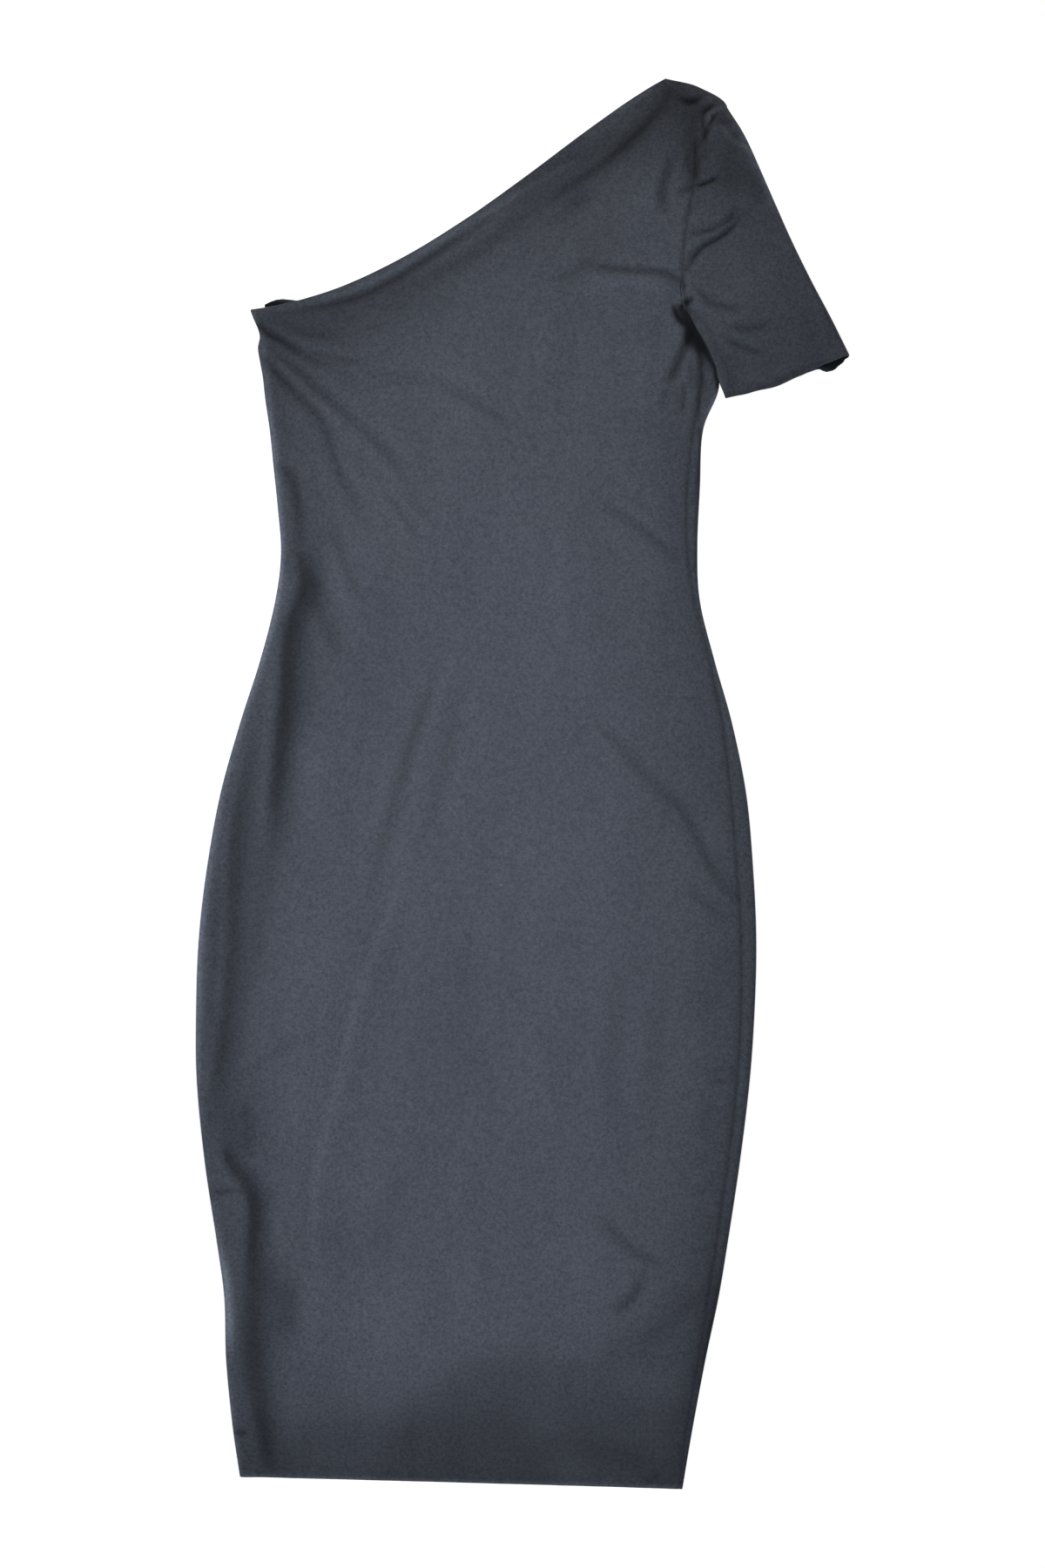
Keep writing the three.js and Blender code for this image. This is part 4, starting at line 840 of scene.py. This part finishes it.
SLOPE_STEP = 0.01


def armhole(u):
    """Plan points of the armhole, from the shoulder (0) to the underarm (1)."""
    def at(share):
        t = mix(SHOULDER_STATION, UNDERARM_STATION, np.clip(share, 0, 1)) / LAST_STATION
        return np.stack([column(BODY, "rightX", t), column(BODY, "rightY", t)], axis=-1)

    along = at(u + SLOPE_STEP) - at(u - SLOPE_STEP)
    along /= np.linalg.norm(along, axis=-1)[..., None]
    return at(u) + np.stack([-along[..., 1], along[..., 0]], axis=-1) * ARMHOLE_GAP


def cuff_reach(side, u):
    """How far the cuff reaches past its straight line, at the share u from its outer corner."""
    at = np.array([row["at"] for row in CUFF])
    value = np.array([row[side] for row in CUFF])
    i = np.clip(np.searchsorted(at, u) - 1, 0, len(at) - 2)
    return mix(value[i], value[i + 1], ease((u - at[i]) / (at[i + 1] - at[i])))


def sleeve_grid():
    ends = armhole(np.array([0.0, 1.0]))
    head = {**SLEEVE_HEAD, "outerX": ends[0][0], "outerY": ends[0][1], "lowerX": ends[1][0],
            "lowerY": ends[1][1]}
    rows = [head] + SLEEVE
    k = np.linspace(0, 1, SLEEVE_RINGS + 1) ** RING_CROWD
    outer, lower = (np.stack([column(rows, edge + "X", k), column(rows, edge + "Y", k)], axis=1)
                    for edge in ("outer", "lower"))
    outer_fold, lower_fold = column(rows, "outerFold", k), column(rows, "lowerFold", k)
    width = np.linalg.norm(lower - outer, axis=1)
    across = (lower - outer) / width[:, None]
    outward = np.stack([-across[:, 1], across[:, 0]], axis=1)

    def plan(u, side):
        p = mix(outer[:, None], lower[:, None], u[..., None])
        bend = armhole(u) - mix(ends[0], ends[1], u[..., None])
        p = p + bend * ((1 - k) ** ARMHOLE_FADE)[:, None, None]
        return p + outward[:, None] * ((k**2)[:, None] * cuff_reach(side, u))[..., None]

    def under_height(p):
        (ax, ay), (bx, by) = SLEEVE_LIFT["from"], SLEEVE_LIFT["to"]
        dx, dy = bx - ax, by - ay
        share = np.clip(((p[..., 0] - ax) * dx + (p[..., 1] - ay) * dy) / (dx * dx + dy * dy), 0, 1)
        distance = np.hypot(p[..., 0] - ax - share * dx, p[..., 1] - ay - share * dy)
        off = ease((distance - SLEEVE_LIFT["full"]) / SLEEVE_LIFT["reach"])
        return REST + SLEEVE_LIFT["height"] * (1 - off)

    def point(u, side):
        p = plan(u, side)
        off_edges = ease(u * width[:, None] / EDGE_REACH) * ease((1 - u) * width[:, None] / EDGE_REACH)
        under = under_height(p) + off_edges * dent_height(p[..., 0], p[..., 1])
        if side == "back":
            return np.dstack([p, under])
        d = u * width[:, None]
        from_seam = np.linalg.norm(p - armhole(u), axis=-1)
        z = relief(p[..., 0], p[..., 1]) - ARMHOLE_DIP * np.exp(-(from_seam / SEAM_DIP_REACH) ** 2)
        z = np.maximum(z, under + CLOTH + LAYER_GAP)
        z = mix(z, under + 2 * outer_fold[:, None], 1 - ease((d - outer_inset[:, None]) / EDGE_REACH))
        z = mix(z, under + 2 * lower_fold[:, None],
                1 - ease((width[:, None] - lower_inset[:, None] - d) / EDGE_REACH))
        return np.dstack([p, z])

    outer_inset, lower_inset = outer_fold + CLOTH / 2, lower_fold + CLOTH / 2
    first, last = outer_inset / width, 1 - lower_inset / width

    def rounded(u, radius, sign, angles):
        high, low = point(u[:, None], "front"), point(u[:, None], "back")
        share = (1 - np.cos(angles))[None, :, None] / 2
        p = low + (high - low) * share
        p[..., :2] += across[:, None] * (sign * radius[:, None] * np.sin(angles)[None])[..., None]
        return p

    up = np.linspace(0, math.pi, ARC_COLUMNS + 1)[:-1]
    return np.concatenate([
        rounded(first, outer_fold, -1, up),
        point(spread(first, last, crowded(SLEEVE_TOP)[:-1]), "front"),
        rounded(last, lower_fold, 1, math.pi - up),
        point(spread(last, first, np.linspace(0, 1, SLEEVE_UNDER + 1)[:-1]), "back"),
    ], axis=1)


# %% [markdown]
# ## From grid to cloth
# A cloth wall has an outer and an inner face, half its thickness to each side of the grid, and a
# rounded rim along every edge. Each point also carries its place on the cut cloth in metres, so that
# the knit runs with the grain and has its real size wherever the cloth goes.

# %% Cloth walls
RIM_ANGLE = math.radians(35)  # steeper than any fold, so only the cut edges are sharp


def unit(v):
    return v / np.linalg.norm(v, axis=-1)[..., None]


def grid_normals(grid, loop):
    """The normal at each point of a grid, and its directions across and along the piece."""
    across = np.roll(grid, -1, axis=1) - np.roll(grid, 1, axis=1)
    if not loop:
        across[:, 0], across[:, -1] = grid[:, 1] - grid[:, 0], grid[:, -1] - grid[:, -2]
    along = np.gradient(grid, axis=0)
    return unit(np.cross(across, along)), across, along


def lengths_along(grid, axis):
    """Length of cloth from a grid's first line to each point, and the steps between."""
    steps = np.linalg.norm(np.diff(grid, axis=axis), axis=2)
    start = np.zeros_like(steps.take([0], axis))
    return np.concatenate([start, np.cumsum(steps, axis=axis)], axis=axis), steps


def cloth_wall(name, grid, loop, slot_material):
    """A closed cloth wall round a grid of points in mm, as a mesh object."""
    rows, cols = grid.shape[:2]
    normal, across, along = grid_normals(grid, loop)
    half = CLOTH / 2
    outer_ids = np.arange(rows * cols).reshape(rows, cols)
    inner_ids = outer_ids + rows * cols
    (u, steps_u), (v, steps_v) = lengths_along(grid, 1), lengths_along(grid, 0)
    cut = np.stack([u, v], axis=-1)
    # painted light and shade at each point
    light = painted_light_factor(name, grid)
    verts = [(grid + normal * half).reshape(-1, 3), (grid - normal * half).reshape(-1, 3)]
    uv = [cut.reshape(-1, 2)] * 2
    lights = [light.ravel()] * 2
    faces = []

    def quads(*corners):
        faces.append(np.stack([corner.ravel() for corner in corners], axis=1))

    def pairs(ids):
        """Each point of a line, or of every row, and the next one."""
        return (ids, np.roll(ids, -1, axis=-1)) if loop else (ids[..., :-1], ids[..., 1:])

    def join(line, ids, flip):
        """Joins a rim's own points to the same line of both faces."""
        for a, b in ((outer_ids[line], ids), (ids, inner_ids[line])):
            (a1, a2), (b1, b2) = pairs(a), pairs(b)
            quads(*((a1, a2, b2, b1) if flip else (a2, a1, b1, b2)))

    def rim(line, outwards, inside=slice(None)):
        """A line of points pushed out by half the cloth, which rounds the edge."""
        first_id = sum(len(block) for block in verts)
        middle = (grid[line] + unit(outwards) * half)[inside]
        verts.append(middle)
        uv.append(cut[line][inside])
        # the rim's points get a painted highlight along the cut edge
        lights.append(light[line][inside] + EDGE_PAINTED_HIGHLIGHT)
        return np.arange(len(middle)) + first_id

    left, right = pairs(outer_ids)
    quads(left[:-1], right[:-1], right[1:], left[1:])
    left, right = pairs(inner_ids)
    quads(left[:-1], left[1:], right[1:], right[:-1])
    hem_line, neck_line = (0, slice(None)), (-1, slice(None))
    first = rim(hem_line, -along[0])
    join(hem_line, first, False)
    last = rim(neck_line, along[-1])
    join(neck_line, last, True)
    if not loop:
        for side, outwards in ((0, -across[:, 0]), (-1, across[:, -1])):
            line = (slice(None), side)
            ids = rim(line, outwards, slice(1, -1))
            join(line, np.concatenate([[first[side]], ids, [last[side]]]), side == -1)
    face_list = np.concatenate(faces)
    mesh = bpy.data.meshes.new(name)
    mesh.from_pydata((np.concatenate(verts) * MM).tolist(), [], face_list.tolist())
    corner_points = np.empty(len(mesh.loops), int)
    mesh.loops.foreach_get("vertex_index", corner_points)
    cloth_uv = (np.concatenate(uv) * MM)[corner_points]
    mesh.uv_layers.new(name="cloth").data.foreach_set("uv", cloth_uv.astype(np.float32).ravel())
    # the painted light and shade of each point, kept as an attribute
    layer = mesh.attributes.new("painted_light_factor", "FLOAT", "POINT")
    layer.data.foreach_set("value", np.concatenate(lights).astype(np.float32))
    mesh.shade_smooth()
    mesh.set_sharp_from_angle(angle=RIM_ANGLE)
    mesh.update()
    mesh.materials.append(slot_material)
    piece = bpy.data.objects.new(name, mesh)
    bpy.context.scene.collection.objects.link(piece)
    area = (steps_u[:-1] + steps_u[1:]).sum() / 2 * steps_v.mean() * MM * MM
    print(name, rows, "x", cols, "points,", 2 * len(face_list), "triangles, about", round(area, 3), "m2")
    return piece


# %% [markdown]
# ## Double jersey
# The cloth is a fine viscose jersey in dark slate grey, slightly blue, with no shine but a soft bloom
# of loose fibres at grazing angles. Close up it shows wales of tiny stitches, 0.7 mm apart. From a step
# away only a fine mottle and faint blotches are left, where the yarn takes the dye unevenly, and a few
# specks of lint. The mottle and the blotches are noise in the body's own space, and the stitches run
# with the cut cloth. The painted shade and highlights of the folds, the broad patches, the seams and the
# hollows multiply the colour.

# %% Jersey material
def linear(hex_code):
    """A colour given as sRGB hex, as the linear values that the shader takes."""
    srgb = [int(hex_code[i:i + 2], 16) / 255 for i in (1, 3, 5)]
    return [c / 12.92 if c <= 0.04045 else ((c + 0.055) / 1.055) ** 2.4 for c in srgb] + [1.0]


def add_node(tree, kind, settings=None, links=None):
    """Adds a node, sets its properties and sockets, and links outputs of other nodes into it."""
    node = tree.nodes.new(kind)
    for key, value in (settings or {}).items():
        if key in node.inputs.keys() or isinstance(key, int):
            node.inputs[key].default_value = value
        else:
            setattr(node, key, value)
    for key, source in (links or {}).items():
        tree.links.new(source, node.inputs[key])
    return node


WALE = 0.7 * MM
COURSE = 0.55 * MM
MOTTLE = 2.6 * MM
NAP_GRAIN = 1.6 * MM
BLOTCH = 45 * MM
BLOTCH_STRETCH = (1.0, 0.35, 1.0)  # longer along the dress than across it
MOTTLE_SHARE = 0.66  # of the colour, the rest being blotches
LINT_SPACING = 28 * MM
LINT_RADIUS = 0.016  # in spacings
LINT_SHARE = 0.10  # of the places where a speck could lie

jersey = bpy.data.materials.new("double_jersey_slate")
jersey.use_nodes = True
tree = jersey.node_tree
shader = tree.nodes["Principled BSDF"]
cloth_place = add_node(tree, "ShaderNodeUVMap", {"uv_map": "cloth"}).outputs["UV"]
body_place = add_node(tree, "ShaderNodeTexCoord").outputs["Object"]


def noise(size, detail=2.0, roughness=0.6, stretch=(1.0, 1.0, 1.0)):
    """Noise whose largest grains are about `size` metres across."""
    place = add_node(tree, "ShaderNodeMapping", {"Scale": stretch}, {"Vector": body_place})
    grains = {"Scale": 1.0 / size, "Detail": detail, "Roughness": roughness}
    return add_node(tree, "ShaderNodeTexNoise", grains, {"Vector": place.outputs["Vector"]}).outputs["Fac"]


def math_node(operation, a, b=None):
    """A sum or the like of outputs of other nodes and plain numbers."""
    values = {key: value for key, value in enumerate((a, b)) if value is not None}
    links = {key: value for key, value in values.items() if isinstance(value, bpy.types.NodeSocket)}
    settings = {key: value for key, value in values.items() if key not in links}
    return add_node(tree, "ShaderNodeMath", {"operation": operation, **settings}, links).outputs[0]


def blend(amount, a, b):
    """Colour a, replaced by colour b as far as the amount says."""
    node = add_node(tree, "ShaderNodeMix", {"data_type": "RGBA"})
    for socket, value in ((node.inputs[0], amount), (node.inputs[6], a), (node.inputs[7], b)):
        if isinstance(value, bpy.types.NodeSocket):
            tree.links.new(value, socket)
        else:
            socket.default_value = value
    return node.outputs[2]


def ramp(source, stops):
    """A colour that runs from the first stop to the last as the source rises."""
    node = add_node(tree, "ShaderNodeValToRGB", {}, {"Fac": source})
    for element, (position, colour) in zip(node.color_ramp.elements, stops):
        element.position, element.color = position, colour
    return node.outputs["Color"]


YARN_DARK, YARN_LIGHT = linear("#363b44"), linear("#5c616a")
BLOTCH_DARK, BLOTCH_LIGHT = linear("#424750"), linear("#535860")
LINT = linear("#a9a6a2")
mottle = ramp(noise(MOTTLE, 2.0, 1.0), [(0.32, YARN_DARK), (0.68, YARN_LIGHT)])
blotches = ramp(noise(BLOTCH, 4.0, 0.75, BLOTCH_STRETCH), [(0.33, BLOTCH_DARK), (0.67, BLOTCH_LIGHT)])
colour = blend(MOTTLE_SHARE, blotches, mottle)
# painted shade and highlights of the folds, patches, seams and hollows scale the colour
light = add_node(tree, "ShaderNodeAttribute", {"attribute_name": "painted_light_factor"}).outputs["Fac"]
colour = add_node(tree, "ShaderNodeVectorMath", {"operation": "SCALE"},
                  {0: colour, "Scale": light}).outputs["Vector"]
specks = add_node(tree, "ShaderNodeTexVoronoi",
                  {"feature": "F1", "Scale": 1 / LINT_SPACING, "Randomness": 1.0}, {"Vector": cloth_place})
chance = add_node(tree, "ShaderNodeSeparateColor", {}, {"Color": specks.outputs["Color"]}).outputs["Red"]
speck = math_node("MULTIPLY", math_node("LESS_THAN", specks.outputs["Distance"], LINT_RADIUS),
                  math_node("LESS_THAN", chance, LINT_SHARE))
tree.links.new(blend(speck, colour, LINT), shader.inputs["Base Color"])

# %% [markdown]
# The stitches are bump: ribs along the wales, crossed by the courses, with a softer noise for the nap.
# A dress that has been worn and washed is quite matt, so the roughness is high, the shine is low and a
# bluish sheen stands for the bloom.

# %% Jersey surface
NAP_SHARE = 3.0  # height of the nap, in heights of a rib
STITCH_HEIGHT = 0.06 * MM
FINISH = {
    "Roughness": 0.88, "Specular IOR Level": 0.25, "Sheen Weight": 0.4, "Sheen Roughness": 0.45,
    "Sheen Tint": linear("#9aa2b0"),
}
stitches = add_node(tree, "ShaderNodeSeparateXYZ", {}, {"Vector": cloth_place})


def wave(source, pitch):
    """A wave from -1 to 1, one turn for each pitch."""
    return math_node("SINE", math_node("MULTIPLY", source, 2 * math.pi / pitch))


ribs = wave(stitches.outputs["X"], WALE)
wales = math_node("ADD", math_node("MULTIPLY", ribs, wave(stitches.outputs["Y"], COURSE)), ribs)
surface = math_node("ADD", wales, math_node("MULTIPLY", noise(NAP_GRAIN, 4.0), NAP_SHARE))
bump = add_node(tree, "ShaderNodeBump", {"Strength": 0.55, "Distance": STITCH_HEIGHT}, {"Height": surface})
tree.links.new(bump.outputs["Normal"], shader.inputs["Normal"])
for socket, value in FINISH.items():
    shader.inputs[socket].default_value = value
print("jersey:", len(tree.nodes), "nodes, wale", WALE / MM, "mm, course", COURSE / MM, "mm")

# %% [markdown]
# ## The three pieces
# Each piece replaces its CAD node, rides on the one rigid body, and takes the record's jersey slot. A
# sheet's flat size is the size of the cut piece, one layer, all round on the sleeve.

# %% Build the cloth
sections = body_sections(np.linspace(0, 1, ROWS + 1))
front = cloth_wall("front_cloth", front_grid(sections), False, jersey)
back = cloth_wall("back_cloth", back_grid(sections), False, jersey)
sleeve = cloth_wall("sleeve_cloth", sleeve_grid(), True, jersey)
CUTS = table(["piece", "node", "width", "length", "area", "rests"], [
    [front, "front_panel", 0.475, 1.13, 0.408, [back]],
    [back, "back_panel", 0.475, 1.13, 0.400, ["table_top"]],
    [sleeve, "sleeve", 0.330, 0.200, 0.035, ["table_top", back]],
])
for cut in CUTS:
    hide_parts(cut["node"])
    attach(cut["piece"], "root")

# %% [markdown]
# ## Table and light
# The dress lies on a plain white table. The light is a long strip softbox low over the dress, a soft
# window beyond the shoulder, and a little pale light from the room. The softbox is close, so that its
# light falls off towards the hem and the sleeve. The table glows a little itself, so that it stays
# white in the picture without more light on the cloth.

# %% Floor and lamps
TABLE = 6.0  # metres from its middle to its edges, well past the picture
TABLE_FINISH = {
    "Base Color": linear("#f7f7f7"), "Roughness": 0.9, "Specular IOR Level": 0.1,
    "Emission Color": linear("#ffffff"), "Emission Strength": 0.75,
}
ROOM_STRENGTH = 0.15
floor_mesh = bpy.data.meshes.new("table_top")
table_corners = [(-TABLE, -TABLE, 0), (TABLE, -TABLE, 0), (TABLE, TABLE, 0), (-TABLE, TABLE, 0)]
floor_mesh.from_pydata(table_corners, [], [(0, 1, 2, 3)])
floor = bpy.data.objects.new("table_top", floor_mesh)
bpy.context.scene.collection.objects.link(floor)
floor_paint = bpy.data.materials.new("white_table_paint")
floor_paint.use_nodes = True
for socket, value in TABLE_FINISH.items():
    floor_paint.node_tree.nodes["Principled BSDF"].inputs[socket].default_value = value
floor_mesh.materials.append(floor_paint)

LAMPS = table(["name", "width", "length", "power", "place", "target", "colour"], [
    ["strip_softbox", 0.26, 1.10, 2.40, (-0.05, -0.10, 0.38), (-0.05, -0.10, 0.0), "#f6f8ff"],
    ["window_light", 0.60, 0.60, 2.8, (-0.10, 0.95, 0.70), (-0.02, 0.0, 0.0), "#fff8ee"],
])
for lamp in LAMPS:
    data = bpy.data.lights.new(lamp["name"], "AREA")
    data.shape = "RECTANGLE"
    data.size, data.size_y = lamp["width"], lamp["length"]
    data.energy = lamp["power"]
    data.color = linear(lamp["colour"])[:3]
    lamp_object = bpy.data.objects.new(lamp["name"], data)
    lamp_object.location = lamp["place"]
    aim = Vector(np.subtract(lamp["target"], lamp["place"]))
    lamp_object.rotation_euler = aim.to_track_quat("-Z", "Y").to_euler()
    lamp_object.visible_camera = False
    bpy.context.scene.collection.objects.link(lamp_object)
print("lamps:", [lamp["name"] for lamp in LAMPS])

world = bpy.data.worlds.new("soft_room")
world.use_nodes = True
room = world.node_tree.nodes["Background"]
room.inputs["Color"].default_value = linear("#eef1f6")
room.inputs["Strength"].default_value = ROOM_STRENGTH
bpy.context.scene.world = world
bpy.context.scene.view_settings.view_transform = "Standard"

# %% Finish
bpy.context.view_layer.update()
